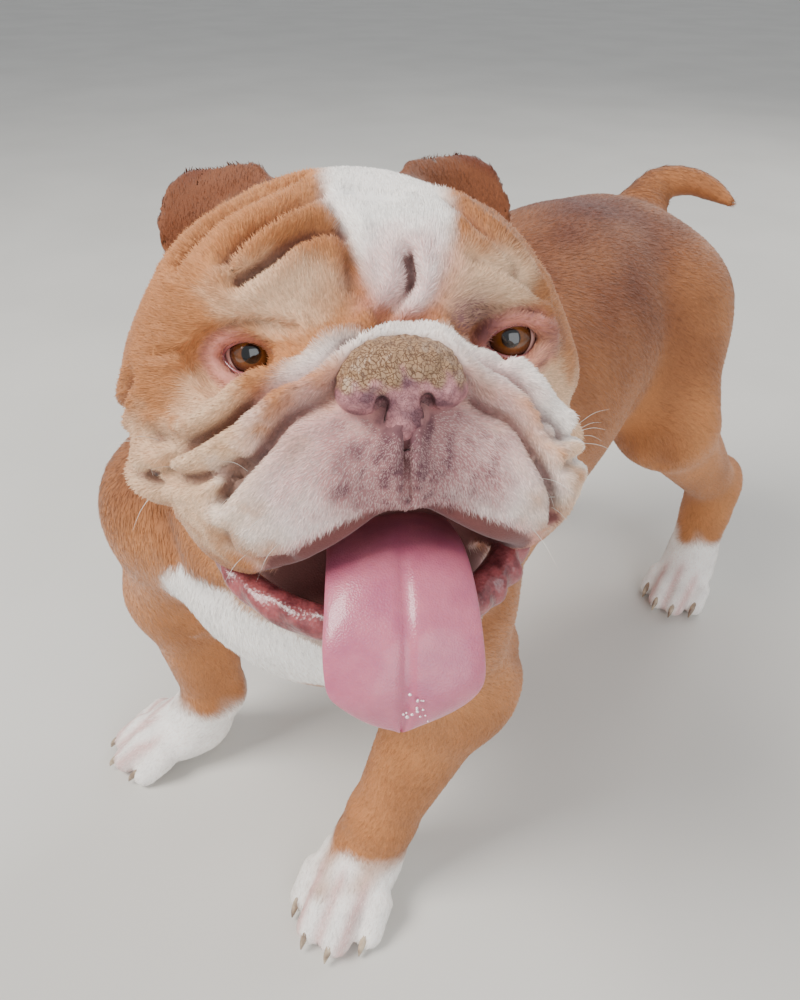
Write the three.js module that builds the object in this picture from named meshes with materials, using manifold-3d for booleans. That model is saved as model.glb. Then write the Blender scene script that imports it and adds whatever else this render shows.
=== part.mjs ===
// An english bulldog, standing in mid stride with its head turned to its left, its mouth open and its tongue out.
// Millimetres, +Z up. The body runs along Y with the chest towards -Y, and the dog's left side is towards +X.
//
// The dog is one smooth field: limbs, muscles and folds are round forms that melt into each other. Each named part is
// the field's surface inside a region of its own, and neighbours are parted by a thin cut.

import * as THREE from "three";
import { mergeVertices } from "three/addons/utils/BufferGeometryUtils.js";
import Module from "manifold-3d";

const wasm = await Module();
wasm.setup();

// Driving sizes
const GAP = 0.3; // the thin cut between two parts
const EYE_SPACING = 100; // between the centres of the eyeballs
const EYE_RADIUS = 11;
const EAR_LENGTH = 38;
const EAR_WIDTH = 50;
const EAR_THICKNESS = 6;
const TONGUE_WIDTH = 62;
const TONGUE_THICKNESS = 9;
const CLAW_LENGTH = 15;
const CLAW_RADIUS = 3.1;
const PAW_WIDTH = 66;
const SOLE_SINK = 2.5; // how far the pads are pressed flat by the floor

// How the head is held: the point between the eyes, and the turns of the face from straight ahead
const HEAD_PLACE = [81, -168, 391];
const HEAD_TURN_LEFT = 50;
const HEAD_TURN_UP = 15;

// Facet sizes of the parts
const HEAD_FACET = 9.6;
const NOSE_FACET = 4.9;
const NECK_FACET = 26;
const TORSO_FACET = 32;
const THIGH_FACET = 22;
const LEG_FACET = 16;
const PAW_FACET = 11;
const TAIL_FACET = 9;

// The skeleton: where each joint lies
const SPINE = {
  withers: [4, -95, 300],
  back: [0, -5, 272],
  loin: [0, 98, 291],
  croup: [4, 168, 287],
  tailRoot: [4, 204, 351],
};
const FORELEGS = {
  right: {
    shoulder: [-58, -186, 254],
    elbow: [-90, -184, 168],
    wrist: [-87, -180, 60],
    pastern: [-97, -192, 30],
    paw: [-105, -203, 0],
    toesOut: 34,
  },
  left: {
    shoulder: [84, -146, 250],
    elbow: [94, -124, 166],
    wrist: [76, -170, 58],
    pastern: [72, -178, 32],
    paw: [72, -189, 0],
    toesOut: 14,
  },
};
const HINDLEGS = {
  left: {
    hip: [44, 166, 292],
    knee: [80, 146, 220],
    hock: [100, 250, 112],
    pastern: [101, 242, 34],
    paw: [103, 231, 0],
    toesOut: 4,
  },
  right: {
    hip: [-44, 158, 292],
    knee: [-80, 104, 214],
    hock: [-90, 182, 108],
    pastern: [-86, 162, 34],
    paw: [-85, 149, 0],
    toesOut: 8,
  },
};

// Small tools for numbers

const radians = THREE.MathUtils.degToRad;

function smallest(a, b, soft) {
  const h = Math.max(soft - Math.abs(a - b), 0);
  return Math.min(a, b) - (h * h) / (4 * soft);
}

function largest(a, b, soft) {
  return -smallest(-a, -b, soft);
}

// Round forms. Each returns a function of a point, which is negative inside.

// An egg with three radii. Its turn is a heading to the left about Z, then a pitch about X, in degrees.
function egg([cx, cy, cz], [rx, ry, rz], heading = 0, pitch = 0) {
  const turn = new THREE.Matrix4()
    .makeRotationZ(radians(heading))
    .multiply(new THREE.Matrix4().makeRotationX(radians(pitch)));
  const e = turn.elements;
  return (x, y, z) => {
    const dx = x - cx;
    const dy = y - cy;
    const dz = z - cz;
    const a = (dx * e[0] + dy * e[1] + dz * e[2]) / rx;
    const b = (dx * e[4] + dy * e[5] + dz * e[6]) / ry;
    const c = (dx * e[8] + dy * e[9] + dz * e[10]) / rz;
    const near = Math.sqrt(a * a + b * b + c * c);
    const slope = Math.sqrt((a / rx) ** 2 + (b / ry) ** 2 + (c / rz) ** 2);
    return slope < 1e-9 ? -Math.min(rx, ry, rz) : (near * (near - 1)) / slope;
  };
}

// A limb whose radius changes evenly from one end to the other.
function limb([ax, ay, az], [bx, by, bz], ra, rb) {
  const ux = bx - ax;
  const uy = by - ay;
  const uz = bz - az;
  const lengthSquared = ux * ux + uy * uy + uz * uz;
  return (x, y, z) => {
    const along = ((x - ax) * ux + (y - ay) * uy + (z - az) * uz) / lengthSquared;
    const t = Math.min(1, Math.max(0, along));
    return Math.hypot(x - ax - t * ux, y - ay - t * uy, z - az - t * uz) - (ra + t * (rb - ra));
  };
}

// A rope of skin along a smooth curve through a few points, with a radius at each point.
function rope(points, radii, steps = 10) {
  const curve = new THREE.CatmullRomCurve3(points.map((p) => new THREE.Vector3(...p)));
  const pieces = [];
  const radiusAt = (t) => {
    const place = t * (radii.length - 1);
    const i = Math.min(Math.floor(place), radii.length - 2);
    return radii[i] + (place - i) * (radii[i + 1] - radii[i]);
  };
  for (let i = 0; i < steps; i += 1) {
    const a = curve.getPoint(i / steps).toArray();
    const b = curve.getPoint((i + 1) / steps).toArray();
    pieces.push(limb(a, b, radiusAt(i / steps), radiusAt((i + 1) / steps)));
  }
  return (x, y, z) => {
    let d = Infinity;
    for (const piece of pieces) d = Math.min(d, piece(x, y, z));
    return d;
  };
}

// The depth of a crease at a point, for a crease that runs along a curve.
function crease(points, width, depth, steps = 10) {
  const line = rope(points, points.map(() => 0), steps);
  return (x, y, z) => depth * Math.exp(-((line(x, y, z) / width) ** 2));
}

// Forms that melt into each other, each with the softness of its own join.
function melt(...forms) {
  const [[first], ...rest] = forms;
  return (x, y, z) => {
    let d = first(x, y, z);
    for (const [form, soft] of rest) d = smallest(d, form(x, y, z), soft);
    return d;
  };
}

// A form that is only worked out near its own ball. Further off, the distance to the ball stands in for it.
function within([cx, cy, cz], radius, form) {
  return (x, y, z) => {
    const off = Math.hypot(x - cx, y - cy, z - cz) - radius;
    return off > 40 ? off : form(x, y, z);
  };
}

// The body, in the part's own frame

function tilted([x, y, z], [dx, dy, dz]) {
  return [x + dx, y + dy, z + dz];
}

const torsoForm = melt(
  [egg([2, -98, 250], [102, 108, 110], 16)],
  [egg([22, -166, 256], [76, 54, 70], 18), 40],
  [egg(SPINE.back, [98, 126, 94]), 40],
  [egg(SPINE.loin, [82, 104, 83]), 40],
  [egg(SPINE.croup, [74, 62, 76]), 30],
);

function forelegForm({ shoulder, elbow, wrist, pastern, paw }) {
  const side = Math.sign(elbow[0]);
  return melt(
    [limb(tilted(shoulder, [-side * 16, 40, 56]), shoulder, 36, 44)],
    [limb(shoulder, elbow, 44, 37), 24],
    [limb(elbow, wrist, 34, 22), 16],
    [egg(tilted(elbow, [side * 4, 22, 6]), [20, 22, 28]), 16],
    [limb(wrist, pastern, 24, 23.5), 8],
    [limb(pastern, tilted(paw, [0, 4, 22]), 23.5, 21), 10],
  );
}

function hindlegForm({ hip, knee, hock, pastern, paw }) {
  const side = Math.sign(knee[0]);
  return melt(
    [limb(hip, knee, 52, 38)],
    [egg(tilted(hip, [side * 8, 22, -20]), [40, 46, 54]), 30],
    [limb(knee, hock, 36, 21), 20],
    [limb(tilted(hock, [0, 12, 8]), tilted(hock, [0, 4, -30]), 17, 20), 12],
    [limb(hock, pastern, 23, 22), 10],
    [limb(pastern, tilted(paw, [0, 4, 20]), 22, 20), 10],
  );
}

// A paw: a low pad with four toes that curl down to the floor. It points ahead, turned out by an angle.
const TOES = [
  { across: -0.36, ahead: 0.36, radius: 0.155 },
  { across: -0.125, ahead: 0.56, radius: 0.175 },
  { across: 0.125, ahead: 0.56, radius: 0.175 },
  { across: 0.36, ahead: 0.36, radius: 0.155 },
];

function pawFrame({ paw, toesOut }, side) {
  return new THREE.Matrix4()
    .makeTranslation(...paw)
    .multiply(new THREE.Matrix4().makeRotationZ(radians(side * toesOut)));
}

function pawForm(frame, width) {
  const inside = frame.clone().invert().elements;
  const forms = [[egg([0, -2, 22], [width * 0.43, width * 0.46, 20])]];
  for (const { across, ahead, radius } of TOES) {
    const r = radius * width;
    const knuckle = [across * width, -(ahead - 0.12) * width, r + 9];
    const tip = [across * width * 1.04, -(ahead + 0.1) * width, r - SOLE_SINK];
    forms.push([limb(knuckle, tip, r * 1.02, r), 4.5]);
  }
  const form = melt(...forms);
  return (x, y, z) =>
    form(
      inside[0] * x + inside[4] * y + inside[8] * z + inside[12],
      inside[1] * x + inside[5] * y + inside[9] * z + inside[13],
      inside[2] * x + inside[6] * y + inside[10] * z + inside[14],
    );
}

const tailForm = within([30, 232, 366], 50, rope(
  [SPINE.tailRoot, [6, 222, 363], [24, 232, 367], [42, 236, 363], [56, 238, 357]],
  [19, 14, 11, 9, 5],
));

// The head, in its own frame: the origin lies between the eyes, the face towards -Y, the dog's left towards +X.

const headFrame = new THREE.Matrix4()
  .makeTranslation(...HEAD_PLACE)
  .multiply(new THREE.Matrix4().makeRotationZ(radians(HEAD_TURN_LEFT)))
  .multiply(new THREE.Matrix4().makeRotationX(radians(-HEAD_TURN_UP)));
const eyeX = EYE_SPACING / 2;
const EYE_PLACE = [eyeX, -1, -1];
const HEAD_LEAN = 10; // how far the head behind the nose lies towards the dog's right

const skull = melt(
  [egg([0, 54, 6], [77, 66, 60])],
  [egg([34, 14, 20], [40, 36, 30]), 18],
  [egg([65, 34, -18], [32, 46, 40]), 22],
  [egg([0, 62, -50], [78, 60, 56]), 30],
);
const muzzle = melt(
  [egg([0, -14, -26], [64, 40, 40])],
  [egg([35, -29, -43], [38, 30, 33]), 14],
  [egg([50, -12, -52], [27, 30, 34]), 14],
);
const noseRoll = rope(
  [[0, -40, 2], [20, -38, 0], [37, -33, -9], [52, -25, -28], [59, -17, -50]],
  [10, 11, 12.5, 13, 11],
);
const jowlRoll = rope(
  [[52, -8, -22], [70, -2, -36], [80, 8, -46], [80, 26, -54]],
  [8, 12, 15, 16],
);
const cheekRoll = rope([[62, 2, -10], [76, 8, -14], [84, 20, -22]], [8, 10, 12]);
const socket = egg([52, -17, -1], [19, 14, 13]);
const jaw = melt(
  [egg([0, -8, -107], [44, 42, 17])],
  [egg([0, 26, -88], [62, 40, 34]), 22],
);
const mouthHollow = egg([0, -36, -78], [50, 50, 32]);
const HEAD_CREASES = [
  crease([[0, -64, -14], [0, -64, -46]], 5, 5),
  crease([[0, -31, 15], [20, -29, 12], [38, -22, 1], [57, -12, -20], [70, -4, -42], [72, -6, -62]], 5, 6),
  crease([[21, -50, 2], [38, -44, -14], [53, -34, -34], [62, -26, -54]], 4.5, 4.5),
  crease([[0, -22, 18], [0, -8, 38], [0, 12, 58]], 7, 4.5),
  crease([[10, -10, 40], [34, -10, 44], [58, 4, 34], [76, 22, 14]], 5.5, 3.5),
  crease([[12, 14, 62], [38, 14, 57], [64, 28, 42], [84, 42, 18]], 5.5, 3.5),
  crease([[60, -6, -16], [80, 2, -26], [98, 14, -34]], 5, 4),
];

function headForm(x, y, z) {
  const side = Math.abs(x + HEAD_LEAN * THREE.MathUtils.smoothstep(y, -55, 5));
  let d = skull(side, y, z);
  d = smallest(d, muzzle(side, y, z), 14);
  d = smallest(d, cheekRoll(side, y, z), 9);
  d = smallest(d, jowlRoll(side, y, z), 7);
  d = smallest(d, noseRoll(side, y, z), 5);
  for (const depthAt of HEAD_CREASES) d += depthAt(side, y, z);
  d = largest(d, -socket(side, y, z), 5);
  const underLips = (z + 47 + 0.62 * side) / 1.18;
  const opening = largest(mouthHollow(side, y, z), underLips, 10);
  d = largest(d, -opening, 5);
  return smallest(d, jaw(side, y, z), 7);
}

const neckForm = melt(
  [limb([10, -100, 286], [40, -122, 340], 90, 72)],
  [limb([26, -150, 262], [50, -160, 310], 76, 62), 30],
);

// The whole dog

const limbForms = [
  ...Object.values(FORELEGS).map((leg) => within(tilted(leg.elbow, [0, -10, 0]), 185, forelegForm(leg))),
  ...Object.values(HINDLEGS).map((leg) => within(tilted(leg.knee, [-10, 30, 0]), 190, hindlegForm(leg))),
];
const LIMB_SOFTNESS = 26;
const PAWS = [];
for (const [row, legs] of Object.entries({ fore: FORELEGS, hind: HINDLEGS })) {
  for (const [side, leg] of Object.entries(legs)) {
    const width = row === "fore" ? PAW_WIDTH : PAW_WIDTH * 0.9;
    const frame = pawFrame(leg, side === "left" ? 1 : -1);
    const form = within(leg.paw, 75, pawForm(frame, width));
    PAWS.push({ name: `${row}paw_${side}`, frame, width, form });
  }
}

const toHead = headFrame.clone().invert().elements;
const HEAD_REACH = 185; // every part of the head lies within this of the point between the eyes

function dogForm(x, y, z) {
  let d = torsoForm(x, y, z);
  d = smallest(d, neckForm(x, y, z), 36);
  for (const form of limbForms) d = smallest(d, form(x, y, z), LIMB_SOFTNESS);
  for (const { form } of PAWS) d = smallest(d, form(x, y, z), 7);
  d = smallest(d, tailForm(x, y, z), 12);
  const [ox, oy, oz] = HEAD_PLACE;
  const offHead = Math.hypot(x - ox, y - oy, z - oz) - HEAD_REACH;
  if (offHead > 40) return smallest(d, offHead, 16);
  const hx = toHead[0] * x + toHead[4] * y + toHead[8] * z + toHead[12];
  const hy = toHead[1] * x + toHead[5] * y + toHead[9] * z + toHead[13];
  const hz = toHead[2] * x + toHead[6] * y + toHead[10] * z + toHead[14];
  return smallest(d, headForm(hx, hy, hz), 16);
}

// The nose leather, in the head's frame

const noseForm = melt(
  [egg([0, -50, -1], [20, 12, 12])],
  [egg([13, -53, -7], [9.5, 8.5, 7.5]), 4],
  [egg([0, -55, -14], [8, 6, 11]), 5],
);
const nostril = rope([[7.5, -66, -8], [10, -58, -10], [18, -59, -14]], [3, 3.2, 2]);

function noseAt(x, y, z) {
  const side = Math.abs(x);
  return largest(noseForm(side, y, z), -nostril(side, y, z), 1.5);
}

// Turning a field into a closed surface

const CORNERS = [0, 1, 2, 3, 4, 5, 6, 7].map((i) => [i & 1, (i >> 1) & 1, (i >> 2) & 1]);
const EDGES = [
  [0, 1], [2, 3], [4, 5], [6, 7],
  [0, 2], [1, 3], [4, 6], [5, 7],
  [0, 4], [1, 5], [2, 6], [3, 7],
];

// Cells of the box that the surface crosses get one vertex each, and crossed grid edges get two triangles.
function facets(field, low, high, facet, shift) {
  const count = [0, 1, 2].map((i) => Math.ceil((high[i] - low[i]) / facet) + 3);
  const start = [0, 1, 2].map((i) => low[i] - facet * (1 + shift));
  const at = (i, j, k) => (k * count[1] + j) * count[0] + i;
  const values = new Float64Array(count[0] * count[1] * count[2]);
  for (let k = 0; k < count[2]; k += 1) {
    for (let j = 0; j < count[1]; j += 1) {
      for (let i = 0; i < count[0]; i += 1) {
        const rim =
          i === 0 || j === 0 || k === 0 ||
          i === count[0] - 1 || j === count[1] - 1 || k === count[2] - 1;
        const value = field(start[0] + i * facet, start[1] + j * facet, start[2] + k * facet);
        values[at(i, j, k)] = rim ? Math.max(value, facet * 0.1) : value;
      }
    }
  }
  const vertexOf = new Int32Array(values.length).fill(-1);
  const points = [];
  for (let k = 0; k < count[2] - 1; k += 1) {
    for (let j = 0; j < count[1] - 1; j += 1) {
      for (let i = 0; i < count[0] - 1; i += 1) {
        const corner = CORNERS.map(([a, b, c]) => values[at(i + a, j + b, k + c)]);
        const sum = [0, 0, 0];
        let crossings = 0;
        for (const [a, b] of EDGES) {
          if (corner[a] < 0 === corner[b] < 0) continue;
          const t = corner[a] / (corner[a] - corner[b]);
          for (let n = 0; n < 3; n += 1) sum[n] += CORNERS[a][n] + t * (CORNERS[b][n] - CORNERS[a][n]);
          crossings += 1;
        }
        if (!crossings) continue;
        vertexOf[at(i, j, k)] = points.length;
        const cell = [i, j, k];
        points.push(cell.map((c, n) => start[n] + (c + sum[n] / crossings) * facet));
      }
    }
  }
  settle(points, field, facet);
  const triangles = [];
  for (let k = 0; k < count[2] - 1; k += 1) {
    for (let j = 0; j < count[1] - 1; j += 1) {
      for (let i = 0; i < count[0] - 1; i += 1) {
        const here = values[at(i, j, k)] < 0;
        const ring = (a, b, c, d, ahead) => {
          if (here === ahead) return;
          const quad = [a, b, c, d].map((cell) => vertexOf[cell]);
          if (!here) quad.reverse();
          const diagonal = (m, n) => Math.hypot(...points[quad[m]].map((v, q) => v - points[quad[n]][q]));
          if (diagonal(0, 2) < diagonal(1, 3)) {
            triangles.push(quad[0], quad[1], quad[2], quad[0], quad[2], quad[3]);
          } else {
            triangles.push(quad[0], quad[1], quad[3], quad[1], quad[2], quad[3]);
          }
        };
        ring(at(i, j - 1, k - 1), at(i, j, k - 1), at(i, j, k), at(i, j - 1, k), values[at(i + 1, j, k)] < 0);
        ring(at(i - 1, j, k - 1), at(i - 1, j, k), at(i, j, k), at(i, j, k - 1), values[at(i, j + 1, k)] < 0);
        ring(at(i - 1, j - 1, k), at(i, j - 1, k), at(i, j, k), at(i - 1, j, k), values[at(i, j, k + 1)] < 0);
      }
    }
  }
  return { points, triangles };
}

// Moves each vertex along the field's slope onto the surface, by part of a facet at most.
function settle(points, field, facet) {
  const e = facet * 0.04;
  for (const p of points) {
    const from = [...p];
    for (let round = 0; round < 3; round += 1) {
      const [x, y, z] = p;
      const value = field(x, y, z);
      const g = [
        (field(x + e, y, z) - field(x - e, y, z)) / (2 * e),
        (field(x, y + e, z) - field(x, y - e, z)) / (2 * e),
        (field(x, y, z + e) - field(x, y, z - e)) / (2 * e),
      ];
      const size = g[0] * g[0] + g[1] * g[1] + g[2] * g[2] + 1e-6;
      for (let n = 0; n < 3; n += 1) {
        const moved = p[n] - (value * g[n]) / size;
        p[n] = Math.min(from[n] + facet * 0.42, Math.max(from[n] - facet * 0.42, moved));
      }
    }
  }
}

function solidFrom(points, triangles, frame) {
  const place = new THREE.Vector3();
  const vertProperties = new Float32Array(points.length * 3);
  points.forEach((p, i) => {
    place.set(...p);
    if (frame) place.applyMatrix4(frame);
    vertProperties.set(place.toArray(), i * 3);
  });
  return new wasm.Manifold(
    new wasm.Mesh({ numProp: 3, vertProperties, triVerts: new Uint32Array(triangles) }),
  );
}

// A solid of the field inside a box. The grid is shifted until the facets close properly.
function solidOfField(field, low, high, facet, frame = null) {
  let problem = null;
  for (let shift = 0; shift < 1; shift += 0.13) {
    const { points, triangles } = facets(field, low, high, facet, shift);
    try {
      return solidFrom(points, triangles, frame);
    } catch (error) {
      problem = error;
    }
  }
  throw problem;
}

function solidOfGeometry(geometry, frame = null) {
  const bare = new THREE.BufferGeometry();
  bare.setAttribute("position", geometry.getAttribute("position").clone());
  if (geometry.index) bare.setIndex(geometry.index.clone());
  if (frame) bare.applyMatrix4(frame);
  const merged = mergeVertices(bare, 1e-5);
  return new wasm.Manifold(
    new wasm.Mesh({
      numProp: 3,
      vertProperties: merged.getAttribute("position").array,
      triVerts: new Uint32Array(merged.index.array),
    }),
  );
}

function boxSolid(low, high, frame = null) {
  const size = [0, 1, 2].map((i) => high[i] - low[i]);
  const middle = [0, 1, 2].map((i) => (high[i] + low[i]) / 2);
  const geometry = new THREE.BoxGeometry(...size).translate(...middle);
  return solidOfGeometry(geometry, frame);
}

function ballSolid(centre, radii, grow, frame = null) {
  const geometry = new THREE.SphereGeometry(1, 20, 14)
    .scale(...radii.map((r) => r + grow))
    .translate(...centre);
  return solidOfGeometry(geometry, frame);
}

// The largest closed surface of a solid, with any loose scrap or sealed hollow left out.
function largestPiece(solid) {
  const pieces = solid.decompose().filter((piece) => piece.volume() > 0);
  return pieces.sort((a, b) => b.volume() - a.volume())[0];
}

// Vertices closer than this become one, which leaves out slivers from the cuts. The first that closes well is used.
const WELDS = [0.01, 0.06, 0.15, 0.001, 0.0001];

function geometryOf(solid) {
  const mesh = solid.getMesh();
  const geometry = new THREE.BufferGeometry();
  const positions = new Float32Array(mesh.numVert * 3);
  for (let i = 0; i < mesh.numVert; i += 1) {
    positions.set(mesh.vertProperties.subarray(i * mesh.numProp, i * mesh.numProp + 3), i * 3);
  }
  geometry.setAttribute("position", new THREE.BufferAttribute(positions, 3));
  geometry.setIndex(new THREE.BufferAttribute(mesh.triVerts, 1));
  return geometry;
}

// The same solid with each vertex moved out by a distance.
function grown(solid, distance) {
  const geometry = geometryOf(solid);
  geometry.computeVertexNormals();
  const position = geometry.getAttribute("position");
  const normal = geometry.getAttribute("normal");
  for (let i = 0; i < position.count; i += 1) {
    position.setXYZ(
      i,
      position.getX(i) + distance * normal.getX(i),
      position.getY(i) + distance * normal.getY(i),
      position.getZ(i) + distance * normal.getZ(i),
    );
  }
  return new wasm.Manifold(
    new wasm.Mesh({ numProp: 3, vertProperties: position.array, triVerts: new Uint32Array(geometry.index.array) }),
  );
}

// Where two wedges of a solid touch along an edge, each gets a middle point of its own, moved a little into it.
const SLIT = 0.06;

function touchingEdges(geometry) {
  const index = geometry.index.array;
  const edges = new Map();
  for (let t = 0; t < index.length; t += 3) {
    for (let n = 0; n < 3; n += 1) {
      const [a, b] = [index[t + n], index[t + ((n + 1) % 3)]];
      const [low, high] = [Math.min(a, b), Math.max(a, b)];
      const key = low * 1e6 + high;
      if (!edges.has(key)) edges.set(key, { low, high, list: [] });
      edges.get(key).list.push({ triangle: t, far: index[t + ((n + 2) % 3)], forward: a < b });
    }
  }
  return [...edges.values()].filter(({ list }) => list.length > 2);
}

function partTouchingWedges(geometry) {
  const touching = touchingEdges(geometry);
  if (!touching.length) return geometry;
  const position = geometry.getAttribute("position");
  const index = Array.from(geometry.index.array);
  const at = (i) => new THREE.Vector3().fromBufferAttribute(position, i);
  const extra = [];
  const split = new Set();
  const added = [];
  for (const { low, high, list } of touching) {
    const along = at(high).sub(at(low)).normalize();
    const first = at(list[0].far).sub(at(low));
    const zero = first.addScaledVector(along, -first.dot(along)).normalize();
    const ninety = new THREE.Vector3().crossVectors(along, zero);
    for (const user of list) {
      const out = at(user.far).sub(at(low));
      user.angle = Math.atan2(out.dot(ninety), out.dot(zero));
    }
    list.sort((a, b) => a.angle - b.angle);
    list.forEach((user, n) => {
      const partner = list[(n + 1) % list.length];
      if (user.forward || !partner.forward) return;
      const turn = partner.angle + (n + 1 < list.length ? 0 : 2 * Math.PI);
      const half = (user.angle + turn) / 2;
      const middle = at(low).add(at(high)).multiplyScalar(0.5);
      middle.addScaledVector(zero, SLIT * Math.cos(half)).addScaledVector(ninety, SLIT * Math.sin(half));
      const m = position.count + extra.length / 3;
      extra.push(...middle.toArray());
      for (const { triangle, far, forward } of [user, partner]) {
        if (split.has(triangle)) continue;
        split.add(triangle);
        const [a, b] = forward ? [low, high] : [high, low];
        added.push(a, m, far, m, b, far);
      }
    });
  }
  const kept = index.filter((_, n) => !split.has(n - (n % 3)));
  const parted = new THREE.BufferGeometry();
  const positions = new Float32Array([...position.array, ...extra]);
  parted.setAttribute("position", new THREE.BufferAttribute(positions, 3));
  parted.setIndex([...kept, ...added]);
  return parted;
}

function mainPiece(solid) {
  for (const weld of WELDS) {
    const welded = mergeVertices(geometryOf(largestPiece(solid)), weld);
    try {
      const piece = largestPiece(solidOfGeometry(partTouchingWedges(welded)));
      if (touchingEdges(geometryOf(piece)).length === 0) return piece;
    } catch (error) {
      // This weld closed a sliver badly, so the next one is tried.
    }
  }
  throw new Error("a part has edges that touch");
}

// Regions that part the dog. A region grown by the gap is what its neighbour is cut by.

// A region below a tilted plane, as a deep box whose top face lies on it.
function below(point, normal, spread, grow) {
  const turn = new THREE.Quaternion().setFromUnitVectors(
    new THREE.Vector3(0, 0, 1),
    new THREE.Vector3(...normal).normalize(),
  );
  const frame = new THREE.Matrix4().compose(
    new THREE.Vector3(...point),
    turn,
    new THREE.Vector3(1, 1, 1),
  );
  return boxSolid([-spread, -spread, -2.4 * spread], [spread, spread, grow], frame);
}

const HEAD_EGG = { centre: [0, 12, -34], radii: [132, 112, 124] };
const NECK_BALL = { centre: [30, -150, 322], radii: [118, 112, 112] };
const headRegion = (grow) => ballSolid(HEAD_EGG.centre, HEAD_EGG.radii, grow, headFrame);
const neckRegion = (grow) => ballSolid(NECK_BALL.centre, NECK_BALL.radii, grow);
const tailRegion = (grow) => below([4, 206, 354], [0.12, -0.8, -0.58], 60, grow);

function forelegRegion({ shoulder, elbow }, grow) {
  const side = Math.sign(elbow[0]);
  const arm = ballSolid([elbow[0] + side * 22, elbow[1], elbow[2] + 10], [66, 78, 82], grow);
  const low = [side > 0 ? 50 - grow : -260, elbow[1] - 160, -20];
  const high = [side > 0 ? 260 : -50 + grow, elbow[1] + 130, elbow[2] - 34 + grow];
  return arm.add(boxSolid(low, high));
}

function thighRegion({ hip, knee }, grow) {
  const side = Math.sign(knee[0]);
  const thigh = ballSolid([side * 112, (hip[1] + knee[1]) / 2 + 8, 262], [78, 92, 104], grow);
  const low = [side > 0 ? 30 - grow : -260, knee[1] - 60, -20];
  const high = [side > 0 ? 260 : -30 + grow, knee[1] + 190, knee[2] - 44 + grow];
  return thigh.add(boxSolid(low, high));
}

function hindlegRegion({ knee, hock }, grow) {
  const fore = hock[1] - knee[1];
  const down = knee[2] - hock[2];
  return below([knee[0], knee[1] + fore * 0.3, knee[2] - down * 0.34], [0, -fore, down * 1.1], 110, grow);
}

const pawTop = { fore: 46, hind: 42 };

function pawRegion(leg, row, grow) {
  return boxSolid(
    [leg.paw[0] - 70, leg.paw[1] - 80, -20],
    [leg.paw[0] + 70, leg.paw[1] + 60, pawTop[row] + grow],
  );
}

// Building the parts

const dog = new THREE.Group();
const coat = (colour) => new THREE.MeshStandardMaterial({ color: colour, roughness: 0.85, metalness: 0 });
const fawn = coat(0xa9683a);
const cream = coat(0xd8bfa6);
const white = coat(0xe9e2da);

function addPart(name, solid, material) {
  const geometry = geometryOf(solid);
  geometry.computeVertexNormals();
  const part = new THREE.Mesh(geometry, material);
  part.name = name;
  dog.add(part);
}

const floorBox = boxSolid([-600, -600, -100], [600, 600, 0]);

// Head, with its eyes, nose, ears and tongue

const SIDES = { left: 1, right: -1 };
const eyeSolid = (side, grow) =>
  solidOfGeometry(
    new THREE.SphereGeometry(EYE_RADIUS + grow, 12, 8).translate(side * EYE_PLACE[0], EYE_PLACE[1], EYE_PLACE[2]),
    headFrame,
  );

const nose = mainPiece(solidOfField(noseAt, [-25, -66, -27], [25, -36, 14], NOSE_FACET, headFrame));

// A horn of oval rings along a smooth line. Widths and depths are half sizes at even steps of the line, and the cup
// lifts the ring's sides forwards.
function hornSolid({ line, across, widths, depths, cup = () => 0, rings, around }, grow, frame) {
  const curve = new THREE.CatmullRomCurve3(line.map((p) => new THREE.Vector3(...p)));
  const share = (list, t) => {
    const place = t * (list.length - 1);
    const n = Math.min(Math.floor(place), list.length - 2);
    return list[n] + (place - n) * (list[n + 1] - list[n]);
  };
  const positions = [];
  const triangles = [];
  for (let i = 0; i <= rings; i += 1) {
    const t = i / rings;
    const out = new THREE.Vector3().crossVectors(across, curve.getTangent(t)).normalize();
    for (let j = 0; j < around; j += 1) {
      const angle = (2 * Math.PI * j) / around;
      const side = Math.cos(angle);
      const point = curve
        .getPoint(t)
        .addScaledVector(across, (share(widths, t) + grow) * side)
        .addScaledVector(out, (share(depths, t) + grow) * Math.sin(angle) + cup(t, side));
      positions.push(point.toArray());
    }
  }
  for (let i = 0; i < rings; i += 1) {
    for (let j = 0; j < around; j += 1) {
      const a = i * around + j;
      const b = i * around + ((j + 1) % around);
      triangles.push(a, a + around, b, b, a + around, b + around);
    }
  }
  const foot = curve.getPoint(0).addScaledVector(curve.getTangent(0), -grow);
  const tip = curve.getPoint(1).addScaledVector(curve.getTangent(1), grow);
  const first = positions.push(foot.toArray()) - 1;
  const last = positions.push(tip.toArray()) - 1;
  for (let j = 0; j < around; j += 1) {
    const next = (j + 1) % around;
    triangles.push(first, j, next);
    triangles.push(last, rings * around + next, rings * around + j);
  }
  return solidFrom(positions, triangles, frame);
}

const ACROSS = new THREE.Vector3(1, 0, 0);

// An ear is a cupped leaf that stands on the back corner of the skull and curls back at its tip.
const EAR_FEET = { left: [32, 62, 34], right: [-53, 62, 33] };
const EAR_LEAN_OUT = 24;
const EAR_LEAN_BACK = 6;
const EAR_FACES_OUT = 26;
const EAR = {
  line: [[0, 2, -18], [0, 0, 0], [0, 1, EAR_LENGTH * 0.42], [0, 6, EAR_LENGTH * 0.76], [0, 13, EAR_LENGTH]],
  across: ACROSS,
  widths: [0.46, 0.52, 0.52, 0.43, 0.2].map((share) => share * EAR_WIDTH),
  depths: [0.75, 0.55, 0.45, 0.4, 0.34].map((share) => share * EAR_THICKNESS),
  cup: (t, side) => (13 * side * side - 6) * (1 - t ** 3),
  rings: 12,
  around: 14,
};

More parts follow.
